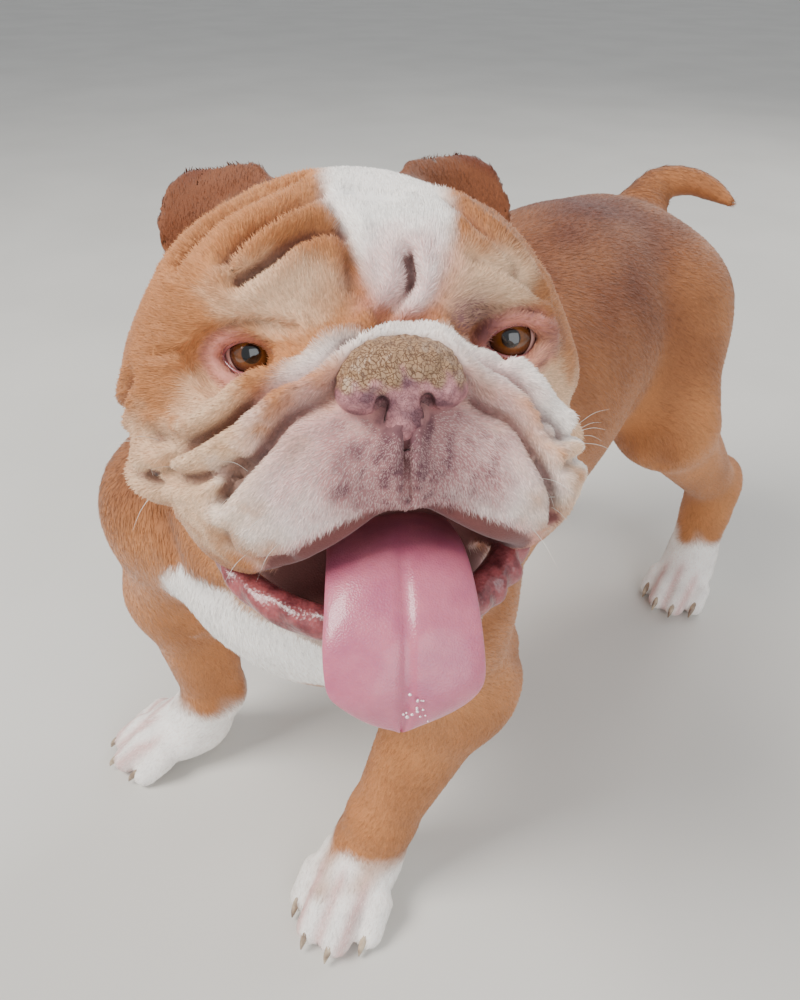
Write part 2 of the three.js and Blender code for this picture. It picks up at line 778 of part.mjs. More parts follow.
function earFrame(name) {
  const side = SIDES[name];
  const frame = headFrame.clone().multiply(new THREE.Matrix4().makeTranslation(...EAR_FEET[name]));
  frame.multiply(new THREE.Matrix4().makeRotationZ(radians(side * EAR_FACES_OUT)));
  frame.multiply(new THREE.Matrix4().makeRotationY(radians(side * EAR_LEAN_OUT)));
  frame.multiply(new THREE.Matrix4().makeRotationX(radians(-EAR_LEAN_BACK)));
  return frame;
}

// The lids are a ring of skin round the almond opening of each eye.
const LID_RING = [
  [-14.2, -5.5, -1.5], [-8, -10.5, 7], [0, -11.5, 9.4], [9, -9.5, 7.4], [14.6, -4.4, 0.4],
  [9, -10, -7.4], [0, -12, -9.2], [-8.5, -10.5, -7.2],
];
const LID_RADIUS = 3.2;

function lidSolid(side, grow) {
  const curve = new THREE.CatmullRomCurve3(
    LID_RING.map(([x, y, z]) => new THREE.Vector3(side * (x + EYE_PLACE[0]), y + EYE_PLACE[1], z + EYE_PLACE[2])),
    true,
  );
  return solidOfGeometry(new THREE.TubeGeometry(curve, 18, LID_RADIUS + grow, 6, true), headFrame);
}

// The lower lip is a roll round the rim of the jaw, from one corner of the mouth to the other.
const LOWER_LIP = {
  line: [[-72, 6, -76], [-62, -18, -88], [-38, -40, -96], [-8, -48, -98], [22, -42, -96], [44, -22, -88], [53, 6, -76]],
  across: new THREE.Vector3(0, 0, 1),
  widths: [5, 8, 9, 8, 9, 8, 5],
  depths: [5, 7, 7, 6, 7, 7, 5],
  rings: 16,
  around: 8,
};

// The tongue runs out over the lower lip and hangs.
const TONGUE = {
  line: [[-2, 14, -82], [-2, -20, -80], [-3, -50, -82], [-5, -69, -94], [-7, -76, -111], [-8, -75, -125]],
  across: ACROSS,
  widths: [0.36, 0.43, 0.46, 0.5, 0.47, 0.2].map((share) => share * TONGUE_WIDTH),
  depths: [0.5, 0.5, 0.48, 0.42, 0.36, 0.22].map((share) => share * TONGUE_THICKNESS),
  cup: (t, side) => 2.2 * side * side,
  rings: 14,
  around: 12,
};

const headBox = { low: [-136, -106, -162], high: [136, 130, 96] };

function fieldInHead(x, y, z) {
  const e = headFrame.elements;
  return dogForm(
    e[0] * x + e[4] * y + e[8] * z + e[12],
    e[1] * x + e[5] * y + e[9] * z + e[13],
    e[2] * x + e[6] * y + e[10] * z + e[14],
  );
}

const headWhole = solidOfField(fieldInHead, headBox.low, headBox.high, HEAD_FACET, headFrame);
let head = headWhole.intersect(headRegion(0));
for (const side of Object.values(SIDES)) {
  head = head.subtract(eyeSolid(side, GAP)).subtract(lidSolid(side, GAP));
}
head = head.subtract(grown(nose, GAP * 1.4)).subtract(hornSolid(TONGUE, GAP, headFrame));
head = head.subtract(hornSolid(LOWER_LIP, GAP, headFrame));
head = mainPiece(head);
addPart("head", head, fawn);
for (const [side, sign] of Object.entries(SIDES)) {
  addPart(`eye_${side}`, eyeSolid(sign, 0), coat(0x6b4423));
  addPart(`lids_${side}`, mainPiece(lidSolid(sign, 0).subtract(eyeSolid(sign, GAP))), coat(0xb87a72));
}
addPart("nose", nose, coat(0x7d6a58));
addPart("tongue", hornSolid(TONGUE, 0, headFrame), coat(0xc9687c));
const lip = hornSolid(LOWER_LIP, 0, headFrame).subtract(hornSolid(TONGUE, GAP, headFrame));
addPart("lower_lip", mainPiece(lip), coat(0x9c5a60));

// Each ear is cut by a copy of the head that is larger by the gap.
const headGrown = grown(headWhole, GAP * 1.4);
for (const side of Object.keys(SIDES)) {
  addPart(`ear_${side}`, mainPiece(hornSolid(EAR, 0, earFrame(side)).subtract(headGrown)), fawn);
}

// Neck, torso and tail

const neckWhole = solidOfField(dogForm, [-110, -290, 180], [170, -20, 450], NECK_FACET);
addPart("neck", mainPiece(neckWhole.intersect(neckRegion(0)).subtract(headRegion(GAP))), fawn);

let torso = solidOfField(dogForm, [-160, -330, 90], [180, 262, 440], TORSO_FACET);
torso = torso.subtract(neckRegion(GAP)).subtract(headRegion(GAP)).subtract(tailRegion(GAP));
for (const leg of Object.values(FORELEGS)) torso = torso.subtract(forelegRegion(leg, GAP));
for (const leg of Object.values(HINDLEGS)) torso = torso.subtract(thighRegion(leg, GAP));
addPart("torso", mainPiece(torso), fawn);

const tailWhole = solidOfField(dogForm, [-30, 190, 325], [80, 262, 400], TAIL_FACET);
addPart("tail", mainPiece(tailWhole.intersect(tailRegion(0))), fawn);

// Legs and paws

function inBox(leg, reach) {
  const points = Object.values(leg).filter(Array.isArray);
  const low = [0, 1, 2].map((i) => Math.min(...points.map((p) => p[i])) - reach);
  const high = [0, 1, 2].map((i) => Math.max(...points.map((p) => p[i])) + reach);
  return { low, high };
}

for (const [side, leg] of Object.entries(FORELEGS)) {
  const box = inBox(leg, 62);
  const whole = solidOfField(dogForm, [box.low[0], box.low[1], 30], [box.high[0], box.high[1], 252], LEG_FACET);
  const upper = whole
    .intersect(forelegRegion(leg, 0))
    .subtract(pawRegion(leg, "fore", GAP))
    .subtract(neckRegion(GAP))
    .subtract(headRegion(GAP));
  addPart(`foreleg_${side}`, mainPiece(upper), cream);
}
for (const [side, leg] of Object.entries(HINDLEGS)) {
  const box = inBox(leg, 84);
  const thigh = solidOfField(dogForm, [box.low[0], box.low[1], 120], [box.high[0], box.high[1], 400], THIGH_FACET);
  addPart(
    `thigh_${side}`,
    mainPiece(thigh.intersect(thighRegion(leg, 0)).subtract(hindlegRegion(leg, GAP)).subtract(tailRegion(GAP))),
    fawn,
  );
  const shank = solidOfField(dogForm, [box.low[0], box.low[1], 28], [box.high[0], box.high[1], 236], LEG_FACET);
  addPart(
    `hindleg_${side}`,
    mainPiece(shank.intersect(hindlegRegion(leg, 0)).intersect(thighRegion(leg, 0)).subtract(pawRegion(leg, "hind", GAP))),
    fawn,
  );
}

function clawFrame(paw, { across, ahead, radius }) {
  const r = radius * paw.width;
  const root = new THREE.Matrix4().makeTranslation(across * paw.width * 1.06, -(ahead + 0.1) * paw.width - r * 0.72, r * 0.9);
  return paw.frame.clone().multiply(root).multiply(new THREE.Matrix4().makeRotationX(radians(32)));
}

const CLAW = {
  line: [[0, 0.45, 0.02], [0, 0.1, 0.06], [0, -0.25, 0.02], [0, -0.55, -0.12]].map((p) => p.map((v) => v * CLAW_LENGTH)),
  across: ACROSS,
  widths: [0.8, 0.76, 0.56, 0.2].map((share) => share * CLAW_RADIUS),
  depths: [1, 0.94, 0.7, 0.24].map((share) => share * CLAW_RADIUS),
  rings: 4,
  around: 6,
};

for (const paw of PAWS) {
  const [row, side] = [paw.name.slice(0, 4), paw.name.split("_")[1]];
  const leg = (row === "fore" ? FORELEGS : HINDLEGS)[side];
  const [px, py] = leg.paw;
  const reach = 64;
  const whole = solidOfField(dogForm, [px - reach, py - reach, -12], [px + reach, py + reach, 66], PAW_FACET);
  let pad = whole.intersect(pawRegion(leg, row, 0)).subtract(floorBox);
  TOES.forEach((toe, n) => {
    const frame = clawFrame(paw, toe);
    pad = pad.subtract(hornSolid(CLAW, GAP, frame));
    addPart(`claw_${row}_${side}_${n + 1}`, hornSolid(CLAW, 0, frame), coat(0x8a7466));
  });
  addPart(paw.name, mainPiece(pad), white);
}

// The origin is the middle of the floor that the dog covers.
const box = new THREE.Box3().setFromObject(dog);
dog.position.set(-(box.min.x + box.max.x) / 2, -(box.min.y + box.max.y) / 2, -box.min.z);

export default dog;
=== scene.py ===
import logging
import math
from dataclasses import dataclass, field
from enum import Enum
from typing import Callable, Sequence

import bpy
import numpy as np
from mathutils import Matrix, Vector


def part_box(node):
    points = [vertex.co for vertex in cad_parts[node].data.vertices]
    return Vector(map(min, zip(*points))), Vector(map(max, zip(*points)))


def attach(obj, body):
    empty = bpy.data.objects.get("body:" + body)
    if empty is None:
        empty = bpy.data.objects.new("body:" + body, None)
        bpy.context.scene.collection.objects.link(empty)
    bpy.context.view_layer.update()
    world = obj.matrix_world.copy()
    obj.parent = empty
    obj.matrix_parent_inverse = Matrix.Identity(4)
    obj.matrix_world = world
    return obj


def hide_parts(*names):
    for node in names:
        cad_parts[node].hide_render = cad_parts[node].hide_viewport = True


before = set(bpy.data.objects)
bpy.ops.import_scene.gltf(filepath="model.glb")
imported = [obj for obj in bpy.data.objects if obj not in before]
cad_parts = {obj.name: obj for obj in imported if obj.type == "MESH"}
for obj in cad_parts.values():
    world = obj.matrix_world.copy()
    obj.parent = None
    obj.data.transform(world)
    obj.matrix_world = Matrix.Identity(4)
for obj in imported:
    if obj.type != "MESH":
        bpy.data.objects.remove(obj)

Array = np.ndarray
Form = Callable[[Array], Array]
Point = Sequence[float]

log = logging.getLogger("bulldog")
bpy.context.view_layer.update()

# Sizes of the dog in millimetres, in the frame in which the solids were drawn

MM = 0.001
HEAD_PLACE = (81, -168, 391)
HEAD_TURN_LEFT = 50
HEAD_TURN_UP = 15
HEAD_LEAN = 10
HEAD_REACH = 185
EYE_PLACE = (50, -1, -1)
EYE_RADIUS = 11
EAR_LENGTH = 42
EAR_WIDTH = 56
EAR_THICKNESS = 6
TONGUE_WIDTH = 62
TONGUE_THICKNESS = 9
CLAW_LENGTH = 15
CLAW_RADIUS = 3.1
PAW_WIDTH = 66
HIND_PAW_SHARE = 0.9
SOLE_SINK = 2.5
COAT_DEPTH = 1.3
FACE_COAT_DEPTH = 0.6

# Length of the hair in millimetres, and the share of it that is missing at the bottom of a fold

HAIR_ON_BODY = 6.2
HAIR_ON_LEGS = 5.4
HAIR_ON_PAWS = 4.2
HAIR_ON_HEAD = 4.8
HAIR_ON_FACE = 2.9
HAIR_ON_EARS = 2.8
HAIR_ON_SNOUT = 1.1
HAIR_LOST_IN_FOLDS = 0.7

# Height of the white on each paw in millimetres

WHITE_TOPS = {"fore_left": 40, "fore_right": 62, "hind_left": 62, "hind_right": 50}


# Numbers on many points at once

def soft_min(a: Array, b: Array, soft: float) -> Array:
    """The smaller of two values, with a round join.

    Args:
        a: values of the first form.
        b: values of the second form.
        soft: width of the join, in millimetres.

    Returns:
        The joined values.
    """
    h = np.maximum(soft - np.abs(a - b), 0)
    return np.minimum(a, b) - h * h / (4 * soft)


def soft_max(a: Array, b: Array, soft: float) -> Array:
    """The larger of two values, with a round join of the given width."""
    return -soft_min(-a, -b, soft)


def ramp(value: Array, start: float, end: float) -> Array:
    """A smooth step from 0 at start to 1 at end."""
    t = np.clip((value - start) / (end - start), 0, 1)
    return t * t * (3 - 2 * t)


def ripple(points: Array, size: float, seed: int) -> Array:
    """Soft random lumps between about -1 and 1, made of a few waves.

    Args:
        points: places, in millimetres.
        size: rough size of a lump, in millimetres.
        seed: which lumps.

    Returns:
        One value for each point.
    """
    draw = np.random.default_rng(seed)
    total = np.zeros(len(points))
    waves = 9
    for _ in range(waves):
        way = draw.normal(size=3)
        way *= draw.uniform(0.6, 1.5) * math.pi / (size * np.linalg.norm(way))
        total += np.sin(points @ way + draw.uniform(0, 2 * math.pi))
    return total / math.sqrt(waves)


def curve_at(points: Sequence[Point], shares: Array) -> Array:
    """Places on a centripetal curve through a few points.

    Args:
        points: the points that the curve passes.
        shares: how far along it each place lies, from 0 to 1.

    Returns:
        One place for each share.
    """
    p = np.asarray(points, float)
    p = np.vstack([2 * p[0] - p[1], p, 2 * p[-1] - p[-2]])
    places = []
    for t in np.asarray(shares) * (len(points) - 1):
        i = min(int(t), len(points) - 2)
        w = t - i
        a, b, c, d = p[i:i + 4]
        da, db, dc = (np.linalg.norm(u - v) ** 0.5 for u, v in ((b, a), (c, b), (d, c)))
        ta = ((b - a) / da - (c - a) / (da + db) + (c - b) / db) * db
        tb = ((c - b) / db - (d - b) / (db + dc) + (d - c) / dc) * db
        cubic = (2 * b - 2 * c + ta + tb, -3 * b + 3 * c - 2 * ta - tb, ta, b)
        places.append(((cubic[0] * w + cubic[1]) * w + cubic[2]) * w + cubic[3])
    return np.array(places)


def smooth_curve(points: Sequence[Point], steps: int) -> Array:
    """Places along a smooth curve, at equal steps of its parameter."""
    return curve_at(points, np.linspace(0, 1, steps + 1))


@dataclass(frozen=True)
class Place:
    """A turned and moved frame, in millimetres."""

    origin: Array
    turn: Array

    def inside(self, points: Array) -> Array:
        """Points of the outer frame in this frame."""
        return (points - self.origin) @ self.turn

    def outside(self, points: Array) -> Array:
        """Points of this frame in the outer frame."""
        return points @ self.turn.T + self.origin

    def child(self, origin: Point, turn: Array) -> "Place":
        """A frame that stands in this one."""
        return Place(self.outside(np.asarray(origin, float)), self.turn @ turn)


def turn_about(axis: str, degrees: float) -> Array:
    """A rotation matrix about X, Y or Z."""
    return np.array(Matrix.Rotation(math.radians(degrees), 3, axis))


OUTER = Place(np.zeros(3), np.eye(3))
HEAD = OUTER.child(HEAD_PLACE, turn_about("Z", HEAD_TURN_LEFT) @ turn_about("X", -HEAD_TURN_UP))


# Round forms. Each returns a function of many points, which is negative inside.

def egg(centre: Point, radii: Point, heading: float = 0) -> Form:
    """An egg with three radii, turned to the left about Z.

    Args:
        centre: its middle.
        radii: half its size along its own axes.
        heading: its turn in degrees.

    Returns:
        The form.
    """
    c, r = np.asarray(centre, float), np.asarray(radii, float)
    turn = turn_about("Z", heading)

    def at(points: Array) -> Array:
        """Distance to the egg."""
        p = ((points - c) @ turn) / r
        near = np.sqrt((p * p).sum(1))
        slope = np.sqrt(((p / r) ** 2).sum(1))
        return np.where(slope < 1e-9, -r.min(), near * (near - 1) / np.maximum(slope, 1e-9))

    return at


def limb(start: Point, end: Point, first: float, last: float) -> Form:
    """A limb with round ends, whose radius changes evenly from first to last."""
    a = np.asarray(start, float)
    u = np.asarray(end, float) - a
    length = float(u @ u)

    def at(points: Array) -> Array:
        """Distance to the limb."""
        off = points - a
        t = np.clip(off @ u / length, 0, 1)
        return np.sqrt(((off - t[:, None] * u) ** 2).sum(1)) - (first + t * (last - first))

    return at


def rope(points: Sequence[Point], radii: Sequence[float], steps: int = 10) -> Form:
    """A rope of skin along a smooth curve, with a radius at each point."""
    places = smooth_curve(points, steps)
    sizes = np.interp(np.linspace(0, 1, steps + 1), np.linspace(0, 1, len(radii)), radii)
    pieces = [limb(places[i], places[i + 1], sizes[i], sizes[i + 1]) for i in range(steps)]
    middle = places.mean(0)
    reach = float(np.linalg.norm(places - middle, axis=1).max() + sizes.max())

    def at(points: Array) -> Array:
        """Distance to the rope, which is only rough far away from it."""
        far = np.sqrt(((points - middle) ** 2).sum(1)) - reach
        near = np.flatnonzero(far < 45)
        if len(near):
            p = points[near]
            d = pieces[0](p)
            for piece in pieces[1:]:
                d = np.minimum(d, piece(p))
            far[near] = d
        return far

    return at


def crease(points: Sequence[Point], width: float, depth: float, steps: int = 10) -> Form:
    """How deep a crease cuts at each point, for a crease along a curve."""
    line = rope(points, [0] * len(points), steps)

    def at(points: Array) -> Array:
        """Depth of the crease."""
        return depth * np.exp(-((line(points) / width) ** 2))

    return at


def laid_crease(surface: Form, points: Sequence[Point], width: float, depth: float) -> Form:
    """A crease along a curve that is laid on a surface, with the skin raised on both sides.

    Args:
        surface: the form that it is laid on.
        points: a few points near the surface.
        width: half its width.
        depth: its depth.

    Returns:
        How deep the skin is pressed in at each point.
    """
    places = smooth_curve(points, 6 * (len(points) - 1))
    laid = Surface(places, np.zeros((0, 3), int))
    laid.fit(surface, 6, 6)
    line = rope(laid.points, [0] * len(places), len(places) - 1)

    def at(points: Array, above: Array) -> Array:
        """Depth of the crease, below 0 on its raised sides, for points and their heights over the surface."""
        d = np.sqrt(np.maximum(line(points) ** 2 - above ** 2, 0)) / width
        deep = 1 - ramp(np.abs(above), 2 * depth, 3 * depth)
        return depth * deep * (1.5 * np.exp(-d * d) - 0.35 * np.exp(-((d - 2.3) / 1.1) ** 2))

    return at


def melt(first: Form, *rest: tuple[Form, float]) -> Form:
    """Forms that melt into each other, each with the softness of its own join."""

    def at(points: Array) -> Array:
        """Distance to the melted form."""
        d = first(points)
        for form, soft in rest:
            d = soft_min(d, form(points), soft)
        return d

    return at


def within(centre: Point, radius: float, form: Form) -> Form:
    """A form worked out only near its own ball, whose distance stands in for it further off."""
    c = np.asarray(centre, float)

    def at(points: Array) -> Array:
        """Distance to the form or to its ball."""
        d = np.sqrt(((points - c) ** 2).sum(1)) - radius
        near = np.flatnonzero(d <= 40)
        if len(near):
            d[near] = form(points[near])
        return d

    return at


def placed(place: Place, form: Form) -> Form:
    """A form that is drawn in a frame of its own."""
    return lambda points: form(place.inside(points))


def off(point: Point, step: Point) -> Array:
    """A point moved by a step."""
    return np.asarray(point, float) + np.asarray(step, float)


# Surfaces

CORNERS = np.array([(i & 1, i >> 1 & 1, i >> 2 & 1) for i in range(8)])
CELL_EDGES = [(a, b) for a in range(8) for b in range(a + 1, 8) if np.abs(CORNERS[a] - CORNERS[b]).sum() == 1]


@dataclass
class Surface:
    """A triangle mesh in millimetres that can be fitted to a form."""

    points: Array
    triangles: Array

    def edges(self) -> tuple[Array, Array]:
        """Unique edges, and the edge of each side of each triangle."""
        t = self.triangles
        sides = np.sort(np.concatenate([t[:, [0, 1]], t[:, [1, 2]], t[:, [2, 0]]]), axis=1)
        key = sides[:, 0].astype(np.int64) * len(self.points) + sides[:, 1]
        unique, place = np.unique(key, return_inverse=True)
        pairs = np.stack([unique // len(self.points), unique % len(self.points)], axis=1)
        return pairs, place.reshape(3, -1).T

    def slopes(self, form: Form, values: Array, step: float = 0.3) -> Array:
        """Slope of the form at each point."""
        return np.stack([(form(self.points + step * way) - values) / step for way in np.eye(3)], axis=1)

    def fit(self, form: Form, rounds: int, limit: float) -> Array:
        """Moves the points onto the form.

        Args:
            form: the form to fit.
            rounds: how many times each point moves.
            limit: the furthest move of one round.

        Returns:
            The outward direction at each point.
        """
        for _ in range(rounds):
            values = form(self.points)
            slope = self.slopes(form, values)
            size = np.maximum((slope ** 2).sum(1), 0.05)
            move = -slope * (values / size)[:, None]
            length = np.linalg.norm(move, axis=1, keepdims=True)
            self.points = self.points + move * np.minimum(1, limit / np.maximum(length, 1e-9))
        return slope / np.maximum(np.linalg.norm(slope, axis=1, keepdims=True), 1e-9)

    def relax(self, rounds: int, share: float = 0.5) -> None:
        """Evens out the triangles by moving each point towards the middle of its neighbours."""
        pairs, _ = self.edges()
        a, b = pairs.T
        number = len(self.points)
        count = np.bincount(a, minlength=number) + np.bincount(b, minlength=number)
        for _ in range(rounds):
            total = np.stack([
                np.bincount(a, self.points[b, i], number) + np.bincount(b, self.points[a, i], number)
                for i in range(3)
            ], axis=1)
            self.points += share * (total / np.maximum(count, 1)[:, None] - self.points)

    def refine(self, wanted: Callable[[Array], Array]) -> None:
        """Splits every edge that is longer than wanted at its middle.

        Args:
            wanted: gives the longest edge at each place.
        """
        pairs, sides = self.edges()
        a, b = self.points[pairs[:, 0]], self.points[pairs[:, 1]]
        middle = (a + b) / 2
        split = np.linalg.norm(a - b, axis=1) > wanted(middle)
        new = np.where(split, len(self.points) + np.cumsum(split) - 1, -1)
        mids = new[sides]
        corners = self.triangles
        number = (mids >= 0).sum(1)
        made = [corners[number == 0]]
        for turn in range(3):
            c, m = np.roll(corners, -turn, 1), np.roll(mids, -turn, 1)
            one = (number == 1) & (m[:, 0] >= 0)
            made += [
                np.stack([c[one, 0], m[one, 0], c[one, 2]], 1),
                np.stack([m[one, 0], c[one, 1], c[one, 2]], 1),
            ]
            two = (number == 2) & (m[:, 2] < 0)
            made += [
                np.stack([m[two, 0], c[two, 1], m[two, 1]], 1),
                np.stack([c[two, 0], m[two, 0], m[two, 1]], 1),
                np.stack([c[two, 0], m[two, 1], c[two, 2]], 1),
            ]
        all_three = number == 3
        c, m = corners[all_three], mids[all_three]
        made += [np.stack(rows, 1) for rows in (
            (c[:, 0], m[:, 0], m[:, 2]), (m[:, 0], c[:, 1], m[:, 1]),
            (m[:, 2], m[:, 1], c[:, 2]), (m[:, 0], m[:, 1], m[:, 2]))]
        self.points = np.vstack([self.points, middle[split]])
        self.triangles = np.vstack(made)

    def largest_piece(self) -> None:
        """Keeps only the largest closed surface."""
        pairs, _ = self.edges()
        label = np.arange(len(self.points))
        while True:
            low = np.minimum(label[pairs[:, 0]], label[pairs[:, 1]])
            fresh = label.copy()
            np.minimum.at(fresh, pairs[:, 0], low)
            np.minimum.at(fresh, pairs[:, 1], low)
            fresh = fresh[fresh]
            if (fresh == label).all():
                break
            label = fresh
        main = np.bincount(label[self.triangles[:, 0]]).argmax()
        kept = label == main
        number = np.cumsum(kept) - 1
        self.triangles = number[self.triangles[kept[self.triangles[:, 0]]]]
        self.points = self.points[kept]

    def mesh(self, name: str) -> bpy.types.Object:
        """The surface as a smooth object in the part's frame."""
        return mesh_object(name, in_row(self.points), self.triangles)


def mesh_object(name: str, points: Array, faces: Sequence) -> bpy.types.Object:
    """A smooth mesh object at the origin.

    Args:
        name: its name.
        points: places in metres.
        faces: rows of point numbers.

    Returns:
        The object, linked to the scene.
    """
    mesh = bpy.data.meshes.new(name)
    faces = [tuple(map(int, f)) for f in faces] if not isinstance(faces, np.ndarray) else faces.tolist()
    mesh.from_pydata(np.asarray(points).tolist(), [], faces)
    mesh.validate()
    mesh.shade_smooth()
    made = bpy.data.objects.new(name, mesh)
    bpy.context.scene.collection.objects.link(made)
    return made


def surface_of(form: Form, low: Point, high: Point, cell: float, blocks: int = 4) -> Surface:
    """The closed surface of a form inside a box, as even cells with one point each.

    Args:
        form: the form.
        low: lowest corner of the box.
        high: highest corner of the box.
        cell: size of a cell.
        blocks: cells along one side of the rough blocks that are looked at first.

    Returns:
        The surface, with its triangles facing out.
    """
    low, high = np.asarray(low, float), np.asarray(high, float)
    rough = cell * blocks
    count = np.ceil((high - low) / rough).astype(int) + 1
    grid = np.stack(np.meshgrid(*(np.arange(n) for n in count), indexing="ij"), -1).reshape(-1, 3)
    block_values = form(low + grid * rough + rough / 2).reshape(count)
    fine = count * blocks
    values = np.kron(block_values, np.ones((blocks,) * 3))
    near = np.flatnonzero(np.abs(values.ravel()) < rough * 1.6)
    index = np.stack(np.unravel_index(near, fine), 1)
    values.ravel()[near] = form(low + index * cell)
    inside = values < 0
    mixed = np.zeros(fine - 1, int)
    for c in CORNERS:
        mixed += inside[tuple(slice(o, n - 1 + o) for o, n in zip(c, fine))]
    cells = np.argwhere((mixed > 0) & (mixed < 8))
    number = np.full(fine - 1, -1)
    number[tuple(cells.T)] = np.arange(len(cells))
    total = np.zeros((len(cells), 3))
    crossings = np.zeros(len(cells))
    for i, j in CELL_EDGES:
        a, b = CORNERS[i], CORNERS[j]
        va, vb = values[tuple((cells + a).T)], values[tuple((cells + b).T)]
        crossed = (va < 0) != (vb < 0)
        share = np.where(crossed, va / np.where(crossed, va - vb, 1), 0)
        total += np.where(crossed[:, None], a + share[:, None] * (b - a), 0)
        crossings += crossed
    points = low + (cells + total / crossings[:, None]) * cell
    triangles = []
    for axis in range(3):
        second, third = (axis + 1) % 3, (axis + 2) % 3
        step = np.eye(3, dtype=int)
        start = inside[tuple(slice(1, n - 1) for n in fine)]
        ahead = [slice(1, n - 1) for n in fine]
        ahead[axis] = slice(2, fine[axis])
        changed = start != inside[tuple(ahead)]
        for leaving in (True, False):
            at = np.argwhere(changed & (start == leaving)) + 1
            ring = [number[tuple((at - o).T)] for o in
                    (step[second] + step[third], step[third], 0 * step[0], step[second])]
            if not leaving:
                ring.reverse()
            triangles += [np.stack([ring[0], ring[1], ring[2]], 1), np.stack([ring[0], ring[2], ring[3]], 1)]
    return Surface(points, np.vstack(triangles))


# The legs and paws

@dataclass(frozen=True)
class Leg:
    """The joints of one leg, from the body down to the middle of its paw."""

    upper: Point
    middle: Point
    lower: Point
    pastern: Point
    paw: Point
    toes_out: float
    hind: bool

    @property
    def side(self) -> float:
        """1 on the dog's left and -1 on its right."""
        return math.copysign(1, self.middle[0])

    @property
    def paw_width(self) -> float:
        """Width of the paw."""
        return PAW_WIDTH * (HIND_PAW_SHARE if self.hind else 1)

    @property
    def paw_place(self) -> Place:
        """Frame of the paw, on the floor, with the toes towards -Y."""
        return OUTER.child(self.paw, turn_about("Z", self.side * self.toes_out))

    def form(self) -> Form:
        """The flesh of the leg without its paw."""
        return self.hind_form() if self.hind else self.fore_form()

    def fore_form(self) -> Form:
        """A foreleg, from the shoulder blade to the pastern."""
        s = self.side
        form = melt(
            limb(off(self.upper, (-s * 16, 40, 56)), self.upper, 36, 44),
            (limb(self.upper, self.middle, 44, 37), 24),
            (limb(self.middle, self.lower, 34, 22), 16),
            (egg(off(self.middle, (s * 4, 22, 6)), (20, 22, 28)), 16),
            (limb(self.lower, self.pastern, 24, 23.5), 8),
            (limb(self.pastern, off(self.paw, (0, 4, 22)), 23.5, 21), 10),
        )
        return within(off(self.middle, (0, -10, 0)), 185, form)

    def hind_form(self) -> Form:
        """A hind leg, from the hip to the pastern."""
        s = self.side
        form = melt(
            limb(self.upper, self.middle, 52, 38),
            (egg(off(self.upper, (s * 8, 22, -20)), (40, 46, 54)), 30),
            (limb(self.middle, self.lower, 36, 21), 20),
            (limb(off(self.lower, (0, 12, 8)), off(self.lower, (0, 4, -30)), 17, 20), 12),
            (limb(self.lower, self.pastern, 23, 22), 10),
            (limb(self.pastern, off(self.paw, (0, 4, 20)), 22, 20), 10),
        )
        return within(off(self.middle, (-10, 30, 0)), 190, form)

    def paw_form(self) -> Form:
        """A low pad with four toes that curl down to the floor."""
        w = self.paw_width
        toes = []
        for across, ahead, radius in TOES:
            r = radius * w
            knuckle = (across * w, -(ahead - 0.12) * w, r + 9)
            tip = (across * w * 1.04, -(ahead + 0.1) * w, r - SOLE_SINK)
            toes.append((limb(knuckle, tip, r * 1.02, r), 4.5))
        form = melt(egg((0, -2, 22), (w * 0.43, w * 0.46, 20)), *toes)
        return within(self.paw, 75, placed(self.paw_place, form))


TOES = ((-0.36, 0.36, 0.155), (-0.125, 0.56, 0.175), (0.125, 0.56, 0.175), (0.36, 0.36, 0.155))
LEGS = {
    "fore_right": Leg(
        (-58, -186, 254), (-90, -184, 168), (-87, -180, 60), (-97, -192, 30), (-105, -203, 0), 34, False),
    "fore_left": Leg(
        (84, -146, 250), (94, -124, 166), (76, -170, 58), (72, -178, 32), (72, -189, 0), 14, False),
    "hind_left": Leg(
        (44, 166, 292), (80, 146, 220), (100, 250, 112), (101, 242, 34), (103, 231, 0), 4, True),
    "hind_right": Leg(
        (-44, 158, 292), (-80, 104, 214), (-90, 182, 108), (-86, 162, 34), (-85, 149, 0), 8, True),
}


# The body

BACK = (0, -5, 272)
LOIN = (0, 98, 291)
CROUP = (4, 168, 287)
TAIL = ((4, 204, 351), (6, 222, 363), (24, 232, 367), (42, 236, 363), (56, 238, 357))


def body_creases() -> list[Form]:
    """Folds of loose skin on the neck, chest, flanks and legs."""
    return [
        crease([(10, -86, 372), (-42, -110, 330), (-66, -140, 286)], 7, 3.5),
        crease([(20, -62, 368), (-52, -82, 318), (-86, -112, 262)], 8, 2.5),
        crease([(120, -96, 318), (128, -84, 280), (124, -92, 236)], 8, 3),
        crease([(-20, -224, 282), (10, -232, 262), (50, -224, 280)], 7, 3),
        crease([(-30, -206, 236), (6, -224, 210), (46, -196, 226)], 8, 3),
        crease([(-112, -160, 222), (-104, -140, 184), (-88, -130, 170)], 8, 3),
        crease([(128, -118, 214), (116, -96, 178), (98, -86, 166)], 8, 3),
        crease([(84, 74, 262), (104, 96, 232), (96, 118, 200)], 9, 3.5),
        crease([(-84, 48, 262), (-100, 66, 226), (-96, 84, 196)], 9, 3.5),
        crease([(112, 170, 232), (108, 200, 176), (104, 232, 140)], 9, 2.5),
        crease([(-108, 132, 228), (-102, 152, 172), (-96, 174, 136)], 9, 2.5),
        crease([(0, -40, 367), (0, 60, 375), (3, 170, 366)], 9, 1.5),
    ]


